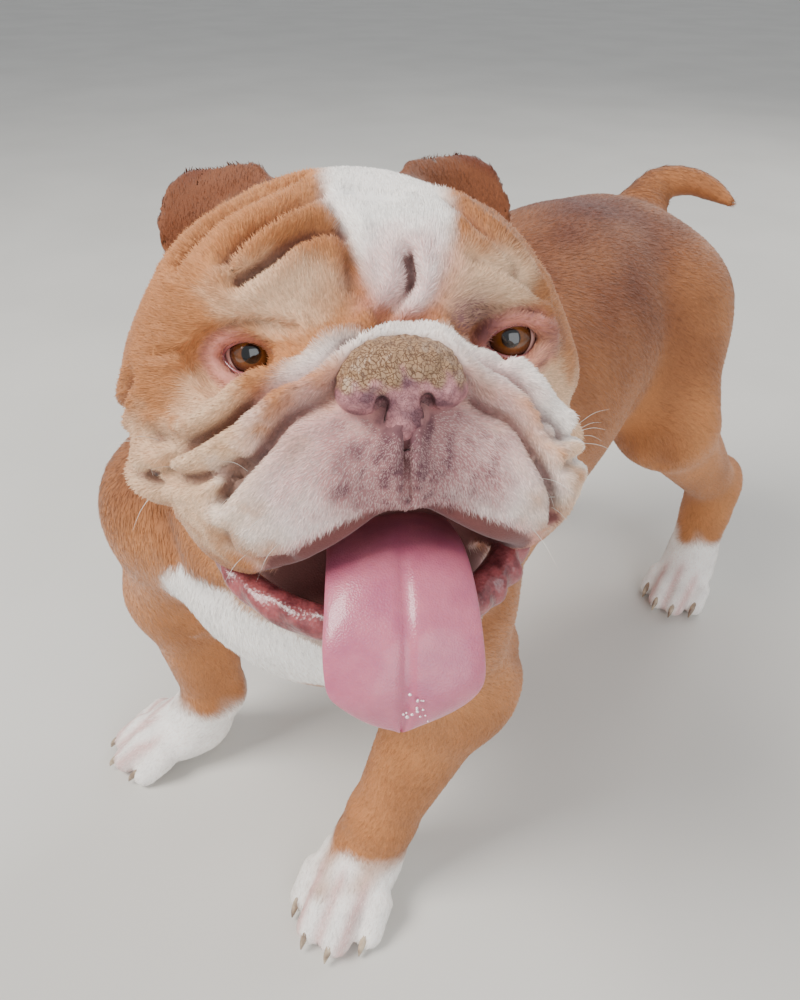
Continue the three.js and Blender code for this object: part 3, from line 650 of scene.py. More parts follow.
def body_form() -> Form:
    """Torso, neck, legs, paws and tail."""
    torso = melt(
        egg((2, -98, 250), (102, 108, 110), 16),
        (egg((22, -166, 256), (76, 54, 70), 18), 40),
        (egg(BACK, (98, 126, 94)), 40),
        (egg(LOIN, (82, 104, 83)), 40),
        (egg(CROUP, (74, 62, 76)), 30),
    )
    neck = melt(
        limb((10, -100, 286), (40, -122, 340), 90, 72),
        (limb((26, -150, 262), (50, -160, 310), 76, 62), 30),
    )
    tail = within((30, 232, 366), 50, rope(TAIL, (19, 14, 11, 9, 5)))
    joined = melt(
        torso,
        (neck, 36),
        *((leg.form(), 26) for leg in LEGS.values()),
        *((leg.paw_form(), 7) for leg in LEGS.values()),
        (tail, 12),
    )
    creases = body_creases()

    def at(points: Array) -> Array:
        """Distance to the body, with its folds."""
        d = joined(points)
        for depth in creases:
            d += depth(points)
        return d

    return at


# The head, in its own frame: the origin between the eyes, the face towards -Y, the dog's left towards +X

LID_RING = (
    (-14.2, -5.5, -1.5), (-8, -10.5, 7), (0, -11.5, 9.4), (9, -9.5, 7.4),
    (14.6, -4.4, 0.4), (9, -10, -7.4), (0, -12, -9.2), (-8.5, -10.5, -7.2), (-14.2, -5.5, -1.5),
)


def lid_line(side: float) -> Array:
    """Places round the opening of one eye's lids, in the head's frame."""
    eye = np.array(EYE_PLACE, float) * (side, 1, 1)
    return np.array(LID_RING) * (side, 1, 1) + eye


# Creases of the head: a few points near the skin, half the width and the depth. First those of the fold
# over the nose, then the brow, the scalp, the eyes, the cheeks and the flews.
HEAD_CREASES = (
    ([(-82, -10, -40), (-66, -34, -22), (-51, -40, -10), (-40, -42, 0), (-28, -44, 4), (-10, -39, 11),
      (-1, -30, 12), (12, -30, 11), (24, -41, 8), (41, -44, -5), (48, -45, -15), (56, -42, -28)], 3.2, 5.5),
    ([(-19, -47, -5), (-26, -46, -9), (-37, -46, -15), (-46, -50, -22), (-54, -50, -31), (-64, -46, -42)],
     3, 5),
    ([(21, -47, -8), (28, -50, -14), (39, -52, -20), (46, -55, -31), (52, -54, -44), (54, -48, -56)],
     2.6, 4.5),
    ([(-20, -48, -6), (-15, -49, 3), (-6, -48, 7), (4, -48, 8), (14, -48, 5), (21, -48, -7)], 2, 2.5),
    ([(9, -14, 32), (9, -18, 25), (5, -20, 19), (-2, -24, 12)], 2.6, 4.5),
    ([(-16, 13, 52), (-13, -2, 38), (-12, -14, 24)], 3, 2.6),
    ([(-8, 14, 53), (-1, 11, 52), (8, 8, 51)], 2, 1.4),
    ([(-24, 33, 61), (-35, 25, 57), (-51, 9, 49), (-63, 0, 42), (-74, -2, 32)], 2.6, 3),
    ([(-18, 19, 57), (-31, 4, 50), (-45, -7, 41), (-56, -14, 33)], 2.8, 3.4),
    ([(-13, -4, 42), (-21, -5, 42), (-32, -10, 39), (-41, -17, 34), (-52, -19, 28)], 3, 4.6),
    ([(-44, 34, 60), (-62, 20, 50), (-78, 16, 36)], 2.6, 2),
    ([(27, 20, 54), (33, -1, 46), (42, -12, 37), (52, -13, 27)], 3, 2.4),
    ([(33, -18, 31), (47, -16, 25), (61, -5, 16)], 2.6, 2.2),
    ([(38, 26, 52), (56, 14, 40), (68, 12, 26)], 2.8, 2.2),
    ([(-68, -10, 4), (-60, -14, 10), (-52, -17, 13), (-43, -21, 12), (-33, -22, 10)], 1.8, 2.4),
    ([(-70, -6, 0), (-64, -9, -9), (-54, -20, -15), (-42, -32, -11)], 2.2, 2.4),
    ([(-82, 0, -1), (-74, -7, 2), (-66, -10, 3)], 1.6, 1.6),
    ([(32, -21, 12), (42, -16, 12), (52, -15, 12), (64, -8, 6)], 1.8, 2.4),
    ([(36, -36, -6), (50, -22, -14), (62, -10, -9)], 2.2, 2.2),
    ([(-56, -39, -15), (-65, -35, -22), (-76, -24, -28), (-92, -4, -30)], 3, 4.4),
    ([(-94, -6, -44), (-82, -18, -42), (-68, -40, -36), (-57, -48, -28)], 2.8, 3.6),
    ([(-106, 26, -30), (-104, 10, -40), (-98, -4, -48), (-86, -14, -52)], 3, 3.6),
    ([(-92, 6, -10), (-98, 18, -22), (-104, 32, -30)], 3, 2.6),
    ([(-64, -46, -55), (-64, -42, -64), (-56, -42, -69), (-44, -50, -66)], 3, 1.8),
    ([(47, -45, -15), (52, -50, -27), (62, -44, -30), (76, -20, -32)], 2.8, 3.6),
    ([(56, -50, -38), (68, -38, -40), (82, -12, -44)], 2.6, 3),
    ([(2, -56, -14), (0, -63, -25), (0, -62, -45)], 1.5, 3.4),
    ([(-90, 36, -50), (-88, 30, -74), (-70, 10, -98)], 4, 3),
    ([(84, 36, -46), (80, 30, -72), (64, 10, -96)], 4, 3),
)


class HeadForm:
    """The skin of the head, fine enough for its folds, lids and lips."""

    def __init__(self) -> None:
        """Makes the forms once."""
        self.skull = melt(
            egg((0, 54, 6), (77, 66, 60)),
            (egg((34, 14, 20), (40, 36, 30)), 18),
            (egg((65, 34, -18), (32, 46, 40)), 22),
            (egg((0, 62, -50), (78, 60, 56)), 30),
        )
        self.muzzle = melt(
            egg((0, -14, -26), (64, 40, 40)),
            (egg((35, -29, -43), (38, 30, 33)), 14),
            (egg((50, -12, -52), (27, 30, 34)), 14),
        )
        self.cheek_roll = rope([(62, 2, -10), (76, 8, -14), (84, 20, -22)], (8, 10, 12))
        self.jowl_roll = rope([(52, -8, -22), (70, -2, -36), (80, 8, -46), (80, 26, -54)], (8, 12, 15, 16))
        self.nose_roll = rope(
            [(0, -40, 2), (20, -38, 0), (37, -33, -9), (52, -25, -28), (59, -17, -50)],
            (10, 11, 12.5, 13, 11), 16)
        self.socket = egg((51.5, -17, -1), (16.5, 13, 11.5))
        self.trough = egg((41, -37, 8), (15, 14, 9))
        self.jaw = melt(egg((0, -8, -107), (44, 42, 17)), (egg((0, 26, -88), (62, 40, 34)), 22))
        self.mouth_hollow = egg((0, -36, -78), (50, 50, 32))
        self.lids = [rope(lid_line(s), [2.9] * 9, 24) for s in (-1, 1)]
        self.eyes = [egg(np.array(EYE_PLACE) * (s, 1, 1), (EYE_RADIUS + 0.15,) * 3) for s in (-1, 1)]
        self.philtrum = rope([(0, -52, -16), (0, -55, -30), (0, -52, -44)], (7, 7, 6))
        self.creases = [laid_crease(self.smooth, *facts) for facts in HEAD_CREASES]

    def mirrored(self, points: Array) -> Array:
        """Points on the dog's left, in the even head that the leaning one is made from."""
        p = points.copy()
        p[:, 0] = np.abs(points[:, 0] + HEAD_LEAN * ramp(points[:, 1], -55, 5))
        return p

    def smooth(self, points: Array) -> Array:
        """Distance to the head without its creases and openings."""
        p = self.mirrored(points)
        d = self.skull(p)
        d = soft_min(d, self.muzzle(p), 12)
        d = soft_min(d, self.cheek_roll(p), 8)
        d = soft_min(d, self.jowl_roll(p), 6)
        d = soft_min(d, self.nose_roll(p), 5)
        d = soft_max(d, -self.trough(p), 9)
        return soft_min(d, self.philtrum(p), 12)

    def closed(self, points: Array) -> Array:
        """Distance to the head with its creases and without its openings."""
        smooth = self.smooth(points)
        d = smooth + sum(depth(points, smooth) for depth in self.creases)
        return d - 0.4 * ripple(points, 16, 4) * ramp(-points[:, 1], -60, 0)

    def folded(self, points: Array) -> Array:
        """How far each point lies in a crease: 1 at the bottom of a deep one."""
        share = np.zeros(len(points))
        near = np.linalg.norm(points - (0, 20, -20), axis=1) < 150
        smooth = self.smooth(points[near])
        share[near] = ramp(sum(depth(points[near], smooth) for depth in self.creases), 0.9, 4.2)
        return share

    def at(self, points: Array) -> Array:
        """Distance to the skin of the head.

        Args:
            points: places in the head's frame.

        Returns:
            Distances, negative inside.
        """
        p = self.mirrored(points)
        d = soft_max(self.closed(points), -self.socket(p), 5)
        for ring in self.lids:
            d = soft_min(d, ring(points), 5.5)
        under_lips = (p[:, 2] + 47 + 0.62 * p[:, 0]) / 1.18
        opening = soft_max(self.mouth_hollow(p), under_lips, 8)
        d = soft_max(d, -opening, 4)
        return soft_min(d, self.jaw(p), 6)


@dataclass(frozen=True)
class EarForm:
    """A small folded ear: a thin leaf that is hollow in front."""

    foot: Point
    side: float
    turn_out: float = 26
    lean_out: float = -4
    lean_back: float = 6
    slant: float = 0.12

    @property
    def place(self) -> Place:
        """Frame of the ear, with its tip towards +Z and its hollow towards -Y."""
        turn = turn_about("Z", self.side * self.turn_out) @ turn_about("Y", self.side * self.lean_out)
        return HEAD.child(self.foot, turn @ turn_about("X", -self.lean_back))

    def at(self, points: Array) -> Array:
        """Distance to the leaf, for points of the outer frame."""
        p = self.place.inside(points)
        x, y, z = p.T
        x = x - self.side * self.slant * np.maximum(z, 0)
        stops = np.array((-18, 0, 0.42 * EAR_LENGTH, 0.76 * EAR_LENGTH, EAR_LENGTH))
        half = np.interp(z, stops, np.array((0.46, 0.52, 0.54, 0.48, 0.32)) * EAR_WIDTH)
        thick = np.interp(z, stops, np.array((0.95, 0.8, 0.72, 0.68, 0.62)) * EAR_THICKNESS)
        lean = np.interp(z, stops, (2, 0, 1, 6, 13))
        t = np.clip((z + 18) / (EAR_LENGTH + 18), 0, 1)
        s = np.clip(x / half, -1.2, 1.2)
        middle = lean - (13 * s * s - 6) * (1 - t ** 3)
        leaf = soft_max(np.abs(y - middle) - thick, np.abs(x) - half, 3)
        return soft_max(leaf, np.abs(z - 10) - (EAR_LENGTH - 10), 6)


EARS = {"left": EarForm((42, 62, 30), 1), "right": EarForm((-60, 61, 30), -1, lean_out=4)}


class DogForm:
    """The whole dog's skin as one form."""

    def __init__(self) -> None:
        """Makes the forms once."""
        self.body = body_form()
        self.head = HeadForm()

    def at(self, points: Array) -> Array:
        """Distance to the skin, under the coat.

        Args:
            points: places in millimetres.

        Returns:
            Distances, negative inside.
        """
        d = self.body(points)
        to_head = np.sqrt(((points - HEAD.origin) ** 2).sum(1))
        near = np.flatnonzero(to_head < HEAD_REACH)
        depth = np.full(len(points), COAT_DEPTH)
        if len(near):
            p = points[near]
            local = HEAD.inside(p)
            e = soft_min(self.body(p), self.head.at(local), 14)
            for ear in EARS.values():
                e = soft_min(e, ear.at(p), 5)
            for eye in self.head.eyes:
                e = np.maximum(e, -eye(local))
            d[near] = e
            face = ramp(-local[:, 1], -60, 0)
            depth[near] = COAT_DEPTH + (FACE_COAT_DEPTH - COAT_DEPTH) * face
        return d + depth


DOG = DogForm()
EYE_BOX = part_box("eye_left")
SHIFT = (np.array(EYE_BOX[0]) + np.array(EYE_BOX[1])) / 2 - HEAD.outside(np.array(EYE_PLACE, float)) * MM


def in_row(points: Array) -> Array:
    """Places in millimetres moved into the part's own frame, in metres."""
    return points * MM + SHIFT


# How the coat lies, how long it is and what colours it has, worked out at each point of the skin

class Marking(Enum):
    """The masks that the skin and the coat carry alike."""

    WHITE = "white"
    CREAM = "cream"
    PINK = "pink"
    MAUVE = "mauve"
    SHADE = "shade"
    # Painted shade with some stain at the bottoms of the creases and inside the mouth
    FOLD_STAIN_AND_SHADE = "fold_stain_and_shade"


def mask_near(points: Array, centre: Point, radii: Point, soft: float = 0.35, ragged: float = 0.12) -> Array:
    """A ragged patch of colour.

    Args:
        points: places, in the frame in which the patch is drawn.
        centre: its middle.
        radii: half its size.
        soft: width of its edge, as a share of its size.
        ragged: how far the edge wanders, as a share of its size.

    Returns:
        1 inside the patch and 0 outside.
    """
    p = (points - np.asarray(centre, float)) / np.asarray(radii, float)
    edge = np.sqrt((p * p).sum(1)) + ragged * ripple(points, 9, 11) + 0.5 * ragged * ripple(points, 3, 12)
    return 1 - ramp(edge, 1 - soft, 1 + soft)


def line_mask(points: Array, line: Sequence[Point], radii: Sequence[float], soft: float) -> Array:
    """A soft patch along a curve, with a half width at each of its points."""
    return 1 - ramp(rope(line, radii)(points), -soft, soft)


@dataclass
class SkinFacts:
    """Facts of the coat at many points of the skin.

    The points and outward directions are in the outer frame, in millimetres.
    """

    points: Array
    outward: Array
    local: Array = field(init=False)
    head: Array = field(init=False)
    legs: dict[str, Array] = field(init=False)
    paws: Array = field(init=False)
    folded: Array = field(init=False)

    def __post_init__(self) -> None:
        """Works out how much of each point belongs to the head, each leg and the paws."""
        p = self.points
        self.local = HEAD.inside(p)
        middle = self.local - (-5, 30, -25)
        reach = np.sqrt(((middle / (112, 104, 104)) ** 2).sum(1))
        self.head = 1 - ramp(reach, 0.96, 1.14)
        self.legs = {}
        for name, leg in LEGS.items():
            line = rope([leg.upper, leg.middle, leg.lower, leg.pastern, leg.paw], [0] * 5, 16)
            near = 1 - ramp(line(p), 46, 70)
            top = leg.upper[2] - (20 if leg.hind else 34)
            self.legs[name] = near * (1 - ramp(p[:, 2], leg.middle[2] - 30, top))
        self.paws = 1 - ramp(p[:, 2], 44, 60)
        self.folded = self.head * DOG.head.folded(self.local)

    def lie(self) -> Array:
        """Which way the hair lies at each point, along the skin."""
        p, n = self.points, self.outward
        side = np.sign(p[:, 0])
        steep = ramp(np.abs(n[:, 0]), 0.2, 0.9)
        way = np.stack([0.25 * side, np.full(len(p), 1.0), -0.15 - 0.8 * steep], 1)
        front = ramp(-p[:, 1], 130, 230)[:, None]
        way = way * (1 - front) + np.array((0, 0.15, -1.0)) * front
        for name, leg in LEGS.items():
            down = np.asarray(leg.lower, float) - np.asarray(leg.middle, float)
            down /= np.linalg.norm(down)
            share = self.legs[name][:, None]
            way = way * (1 - share) + (down + (0, 0.25, 0)) * share
            toes = leg.paw_place.turn @ np.array((0, -1.0, -0.5))
            near = np.linalg.norm(p[:, :2] - np.array(leg.paw[:2], float), axis=1)
            share = ((1 - ramp(near, 60, 80)) * self.paws)[:, None]
            way = way * (1 - share) + toes * share
        tail = 1 - ramp(rope(TAIL, [0] * 5)(p), 20, 34)
        way = way * (1 - tail[:, None]) + np.array((1.0, 0.2, -0.2)) * tail[:, None]
        q = self.local
        from_nose = q - (0, -70, -8)
        from_nose /= np.linalg.norm(from_nose, axis=1, keepdims=True)
        sweep = from_nose + np.stack([0 * q[:, 0], 0.3 + 0 * q[:, 0], -0.35 * ramp(-q[:, 2], -10, 40)], 1)
        face = sweep @ HEAD.turn.T
        way = way * (1 - self.head[:, None]) + face * self.head[:, None]
        for ear in EARS.values():
            share = self.ear_share(ear)[:, None]
            way = way * (1 - share) + ear.place.turn[:, 2] * share
        swirl = np.stack([ripple(p, 38, 21), ripple(p, 38, 22), ripple(p, 38, 23)], 1)
        way = way + 0.16 * swirl
        way -= n * (way * n).sum(1)[:, None]
        return way / np.maximum(np.linalg.norm(way, axis=1, keepdims=True), 1e-6)

    def ear_share(self, ear: EarForm) -> Array:
        """How much each point belongs to an ear."""
        z = ear.place.inside(self.points)[:, 2]
        return (1 - ramp(ear.at(self.points), 2, 7)) * ramp(z, -4, 8)

    def length(self) -> Array:
        """Length of the hair in millimetres."""
        size = np.full(len(self.points), HAIR_ON_BODY)
        legs = np.clip(sum(self.legs.values()), 0, 1)
        size += (HAIR_ON_LEGS - size) * legs
        size += (HAIR_ON_PAWS - size) * self.paws
        size += (HAIR_ON_HEAD - size) * self.head
        face = self.head * ramp(-self.local[:, 1], -10, 36)
        size += (HAIR_ON_FACE - size) * face
        for ear in EARS.values():
            size += (HAIR_ON_EARS - size) * self.ear_share(ear)
        snout = mask_near(self.local, (0, -58, -26), (26, 20, 22), 0.4)
        size += (HAIR_ON_SNOUT - size) * snout
        return size * (1 - HAIR_LOST_IN_FOLDS * self.folded)

    def bare(self) -> Array:
        """1 where the skin has no hair: round the eyes, under the lips, under the nose and on the soles."""
        q = self.local
        bare = self.inside_openings()
        for s in (-1, 1):
            bare = np.maximum(bare, 1 - ramp(rope(lid_line(s) - (0, 0.5, 0), [1.6] * 9, 24)(q), 0.2, 1.2))
        bare = np.maximum(bare, 1 - ramp(noise_free_nose(q), 0.6, 2.2))
        return np.maximum(bare, 1 - ramp(self.points[:, 2], 2, 5))

    def inside_openings(self) -> Array:
        """1 on the skin inside the mouth."""
        hollow = DOG.head.mouth_hollow(DOG.head.mirrored(self.local))
        low = ramp(-self.local[:, 2], 40, 52)
        jaw_top = (1 - ramp(hollow, 15, 21)) * ramp(self.outward_local()[:, 2], -0.1, 0.2) * ramp(low, 0.8, 1)
        return self.head * low * np.maximum(1 - ramp(hollow, 0.2, 2.2), jaw_top)

    def outward_local(self) -> Array:
        """Outward directions in the head's frame."""
        return self.outward @ HEAD.turn

    def markings(self) -> dict[Marking, Array]:
        """The masks of the markings and of the painted shade in the folds, from 0 to 1."""
        ears = np.maximum(*(self.ear_share(ear) for ear in EARS.values()))
        gums = self.inside_openings()
        lips = self.lips()
        return {
            Marking.FOLD_STAIN_AND_SHADE: self.fold_stain_and_shade(gums),
            Marking.WHITE: self.white(ears),
            Marking.CREAM: self.cream(ears),
            Marking.PINK: np.clip(self.pink(gums, lips), 0, 1),
            Marking.MAUVE: np.clip(self.mauve(gums, lips), 0, 1),
            Marking.SHADE: self.shade(),
        }

    def lips(self) -> Array:
        """1 on the edges of the lips, which face down."""
        near = 1 - ramp(DOG.head.mouth_hollow(self.local), 1, 9)
        return self.head * near * ramp(-self.outward_local()[:, 2], -0.1, 0.4)

    def white(self, ears: Array) -> Array:
        """The blaze, muzzle, chin, chest and belly, and the paws."""
        p, q = self.points, self.local
        on_head, off_head = self.head, 1 - self.head
        blaze = line_mask(q, [(8, 66, 74), (8, 40, 72), (6, 12, 58), (8, -6, 42), (6, -22, 26)],
                          [27, 26, 25, 19, 12], 4 + 1.5 * ripple(q, 7, 31))
        blaze = blaze * (1 - ears)
        muzzle = 0.85 * mask_near(q, (0, -44, -46), (56, 38, 40), 0.3, 0.08)
        roll = line_mask(q, [(-44, -30, -12), (-20, -42, 2), (0, -44, 8), (20, -40, 4),
                             (46, -36, -12), (60, -30, -44)], [5, 8, 9, 12, 15, 16], 4)
        chin = mask_near(q, (-4, -10, -112), (60, 60, 26), 0.3)
        chest = mask_near(p, (34, -230, 234), (62, 52, 36), 0.08, 0.05)
        belly = mask_near(p, (0, -60, 150), (60, 190, 34), 0.2, 0.1)
        white = np.maximum.reduce([on_head * blaze, on_head * muzzle, on_head * 0.85 * roll, on_head * chin,
                                   off_head * chest, off_head * belly])
        edge = p[:, 2] + 7 * ripple(p, 16, 32)
        for name, leg in LEGS.items():
            near = (1 - ramp(np.linalg.norm(p[:, :2] - np.array(leg.paw[:2], float), axis=1), 66, 86))
            top = WHITE_TOPS[name]
            white = np.maximum(white, near * (1 - ramp(edge, top - 12, top + 10)) * off_head)
        inner = line_mask(p, [(-44, -190, 160), (-46, -190, 110), (-50, -190, 60)], [5, 6, 9], 4)
        white = np.maximum(white, inner * off_head * ramp(self.outward[:, 0], 0.72, 0.95))
        under_tail = mask_near(p, (6, 228, 318), (26, 26, 30), 0.3)
        return np.maximum(white, under_tail)

    def cream(self, ears: Array) -> Array:
        """The brows, cheeks and sides of the muzzle, and the hollows of the ears."""
        p, q = self.points, self.local
        brows = sum(mask_near(q, (s * 38, -14, 22), (22, 20, 12), 0.5) for s in (-1, 1))
        cheeks = sum(mask_near(q, (s * 78, 4, -44), (34, 40, 22), 0.45) for s in (-1, 1))
        sides = sum(mask_near(q, (s * 62, -28, -34), (22, 34, 30), 0.4) for s in (-1, 1))
        cream = self.head * (1 - ears) * np.clip(brows + cheeks + sides, 0, 1)
        for ear in EARS.values():
            e = ear.place.inside(p)
            hollow = mask_near(e, (ear.side * -4, -4, 6), (11, 16, 15), 0.5)
            cream = np.maximum(cream, 0.8 * hollow * (self.outward @ ear.place.turn[:, 1] < 0.2))
        return cream

    def pink(self, gums: Array, lips: Array) -> Array:
        """The skin that shows round the eyes, between the folds, on the snout and between the toes."""
        p, q = self.points, self.local
        pink = np.zeros(len(q))
        for s in (-1, 1):
            rim = rope(lid_line(s), [2.4] * 9, 24)(q)
            pink = np.maximum(pink, 0.8 * (1 - ramp(rim, 0.2, 3.6)))
        between = mask_near(q, (6, -22, 28), (18, 18, 20), 0.5)
        rolls = line_mask(q, [(-60, -22, -38), (-40, -40, -10), (0, -46, 3), (40, -40, -10), (60, -22, -38)],
                          [5, 5, 4, 5, 5], 6)
        snout = mask_near(q, (0, -54, -30), (44, 24, 28), 0.5)
        pink = np.maximum.reduce([pink, 0.7 * between, 0.8 * rolls, 0.8 * lips, 0.95 * snout, gums])
        for leg in LEGS.values():
            place = leg.paw_place.inside(p)
            for a, b in zip(TOES, TOES[1:]):
                x = (a[0] + b[0]) / 2 * leg.paw_width
                gap = np.exp(-((place[:, 0] - x) / 3.2) ** 2) * ramp(-place[:, 1], 8, 24) * self.paws
                pink = np.maximum(pink, 0.7 * gap)
        return pink

    def mauve(self, gums: Array, lips: Array) -> Array:
        """The dark skin under the nose, at the corners of the eyes and on the lips."""
        q = self.local
        spots = ramp(ripple(q, 5, 41) + 0.6 * ripple(q, 2.2, 42), 0.1, 0.9)
        mauve = mask_near(q, (3, -58, -34), (27, 20, 27), 0.45) * (0.62 + 0.38 * spots)
        notch = mask_near(q, (0, -60, -24), (11, 12, 16), 0.4)
        eye_patch = mask_near(q, (33, -18, 6), (11, 10, 15), 0.5) * 0.85
        outer = mask_near(q, (70, -6, 0), (10, 10, 8), 0.5) * 0.55
        return np.maximum.reduce([mauve, 0.85 * notch, eye_patch, outer, 0.6 * lips * spots, 0.5 * gums])

    def shade(self) -> Array:
        """The deep red-brown, in soft clouds, on the back and on the ears."""
        p = self.points
        clouds = 0.5 + 0.5 * np.clip(0.6 * ripple(p, 60, 51) + 0.4 * ripple(p, 22, 52), -1, 1)
        back = (1 - self.head) * ramp(p[:, 2], 220, 350) * (1 - 0.5 * ramp(p[:, 1], 110, 220))
        shade = np.clip(0.35 * clouds + 0.65 * back, 0, 1)
        for ear in EARS.values():
            shade = np.maximum(shade, 0.85 * self.ear_share(ear))
        return shade

    def fold_stain_and_shade(self, gums: Array) -> Array:
        """Painted shade with some stain at the bottoms of the folds, darker where a crease is deeper, and
        painted shade inside the mouth.
        """
        fold_stain_and_shade = np.maximum(self.folded, gums)
        for depth in body_creases():
            fold_stain_and_shade = np.maximum(fold_stain_and_shade, 0.08 * depth(self.points))
        return fold_stain_and_shade


def noise_free_nose(q: Array) -> Array:
    """Distance to the leather of the nose, without its grain, in the head's frame."""
    p = q.copy()
    p[:, 0] = np.abs(q[:, 0])
    return melt(
        egg((0, -50, -1), (20, 12, 12)),
        (egg((13, -53, -7), (9.5, 8.5, 7.5)), 4),
        (egg((0, -55, -14), (8, 6, 11)), 5),
    )(p)


def set_attribute(mesh: bpy.types.Mesh, name: str, values: Array) -> None:
    """Stores one number or one direction for each point of a mesh.

    Args:
        mesh: the mesh.
        name: name of the attribute.
        values: an array of one or three columns.
    """
    vector = values.ndim == 2
    kind = "FLOAT_VECTOR" if vector else "FLOAT"
    made = mesh.attributes.get(name) or mesh.attributes.new(name, kind, "POINT")
    made.data.foreach_set("vector" if vector else "value", np.ascontiguousarray(values, np.float32).ravel())


def get_attribute(mesh: bpy.types.Mesh, name: str) -> Array:
    """One direction for each point of a mesh, as rows."""
    values = np.empty(len(mesh.vertices) * 3, np.float32)
    mesh.attributes[name].data.foreach_get("vector", values)
    return values.reshape(-1, 3)


# Finishes

class NodeMaker:
    """Makes the nodes of one material or one geometry tree."""

    def __init__(self, tree: bpy.types.NodeTree) -> None:
        """Keeps the tree and empties it."""
        self.tree = tree
        tree.nodes.clear()

    def add(self, kind: str, inputs: dict | None = None, **settings: object) -> bpy.types.Node:
        """Adds a node.

        Args:
            kind: the node's type name.
            inputs: a value or an output socket for each input, by name or number.
            settings: the node's own properties.

        Returns:
            The node.
        """
        node = self.tree.nodes.new(kind)
        for name, value in settings.items():
            setattr(node, name, value)
        for key, value in (inputs or {}).items():
            socket = node.inputs[key]
            if isinstance(value, bpy.types.NodeSocket):
                self.tree.links.new(value, socket)
            else:
                socket.default_value = value
        return node

    def maths(self, operation: str, a: object, b: object = 0.0) -> bpy.types.NodeSocket:
        """The result of one sum on two numbers."""
        return self.add("ShaderNodeMath", {0: a, 1: b}, operation=operation).outputs[0]

    def mix(self, share: object, a: object, b: object) -> bpy.types.NodeSocket:
        """A mix of two colours."""
        node = self.add("ShaderNodeMix", {0: share, 6: a, 7: b}, data_type="RGBA")
        return node.outputs[2]

    def mask(self, name: str) -> bpy.types.NodeSocket:
        """A number that the mesh carries."""
        return self.add("ShaderNodeAttribute", attribute_name=name).outputs["Fac"]

    def noise(
        self, place: object, scale: float, detail: float = 3, rough: float = 0.5,
    ) -> bpy.types.NodeSocket:
        """Fine random variation at the given scale."""
        values = {"Vector": place, "Scale": scale, "Detail": detail, "Roughness": rough}
        return self.add("ShaderNodeTexNoise", values).outputs["Fac"]

    def spread(self, value: object, low: float, high: float) -> bpy.types.NodeSocket:
        """A number between two limits stretched to between 0 and 1."""
        node = self.add("ShaderNodeMapRange", {"Value": value, "From Min": low, "From Max": high})
        return node.outputs["Result"]


def colour(red: float, green: float, blue: float) -> tuple[float, float, float, float]:
    """A screen colour of 0 to 255 in each channel as the shaders want it."""
    return tuple((c / 255) ** 2.2 for c in (red, green, blue)) + (1.0,)


def new_material(name: str) -> tuple[bpy.types.Material, NodeMaker]:
    """An empty node material and the maker of its nodes."""
    material = bpy.data.materials.new(name)
    material.use_nodes = True
    return material, NodeMaker(material.node_tree)


@dataclass(frozen=True)
class CoatFinish:
    """Short hair over pink skin, with the markings and the painted fold shade that the mesh carries."""

    name: str
    tuft: bool
    fawn: tuple = colour(196, 130, 80)
    deep: tuple = colour(98, 48, 26)
    cream: tuple = colour(232, 196, 160)
    white: tuple = colour(252, 247, 241)
    pink: tuple = colour(206, 132, 126)
    mauve: tuple = colour(104, 68, 74)
    # Dark red-brown for the folds and the mouth: painted shade with some stain
    fold_stain_and_shade: tuple = colour(92, 48, 42)

    def material(self) -> bpy.types.Material:
        """Builds the node material.

        Returns:
            The material.
        """
        material, make = new_material(self.name)
        place = make.add("ShaderNodeTexCoord").outputs["Object"]
        broad = make.noise(place, 60, 2)
        fine = make.noise(place, 900, 2)
        base = make.mix(make.mask("shade"), self.fawn, self.deep)
        base = make.mix(make.maths("MULTIPLY", make.mask("cream"), 0.85), base, self.cream)
        base = make.mix(make.mask("white"), base, self.white)
        share = 0.6 if self.tuft else 0.9
        base = make.mix(make.maths("MULTIPLY", make.mask("pink"), share), base, self.pink)
        base = make.mix(make.maths("MULTIPLY", make.mask("mauve"), share + 0.15), base, self.mauve)
        # Painted shade and stain: the folds and the inside of the mouth are darkened towards the fold colour
        base = make.mix(make.maths("MULTIPLY", make.mask("fold_stain_and_shade"), 0.8), base, self.fold_stain_and_shade)
        spread = make.maths("ADD", make.maths("MULTIPLY", broad, 0.25), make.maths("MULTIPLY", fine, 0.35))
        bright = make.maths("ADD", spread, 0.72)
        if self.tuft:
            bright = make.maths("MULTIPLY", bright, make.maths("ADD", 0.82, make.mask("strand")))
        varied = make.add("ShaderNodeHueSaturation", {"Color": base, "Value": bright})
        shader = make.add("ShaderNodeBsdfPrincipled", {
            "Base Color": varied.outputs["Color"],
            "Roughness": 0.62 if self.tuft else 0.7,
            "Specular IOR Level": 0.35,
            "Sheen Weight": 0.25,
            "Sheen Roughness": 0.4,
        })
        if not self.tuft:
            grain = make.noise(place, 1500, 3)
            bump = make.add("ShaderNodeBump", {"Height": grain, "Strength": 0.35, "Distance": 0.0006})
            make.tree.links.new(bump.outputs[0], shader.inputs["Normal"])
        make.add("ShaderNodeOutputMaterial", {"Surface": shader.outputs[0]})
        return material


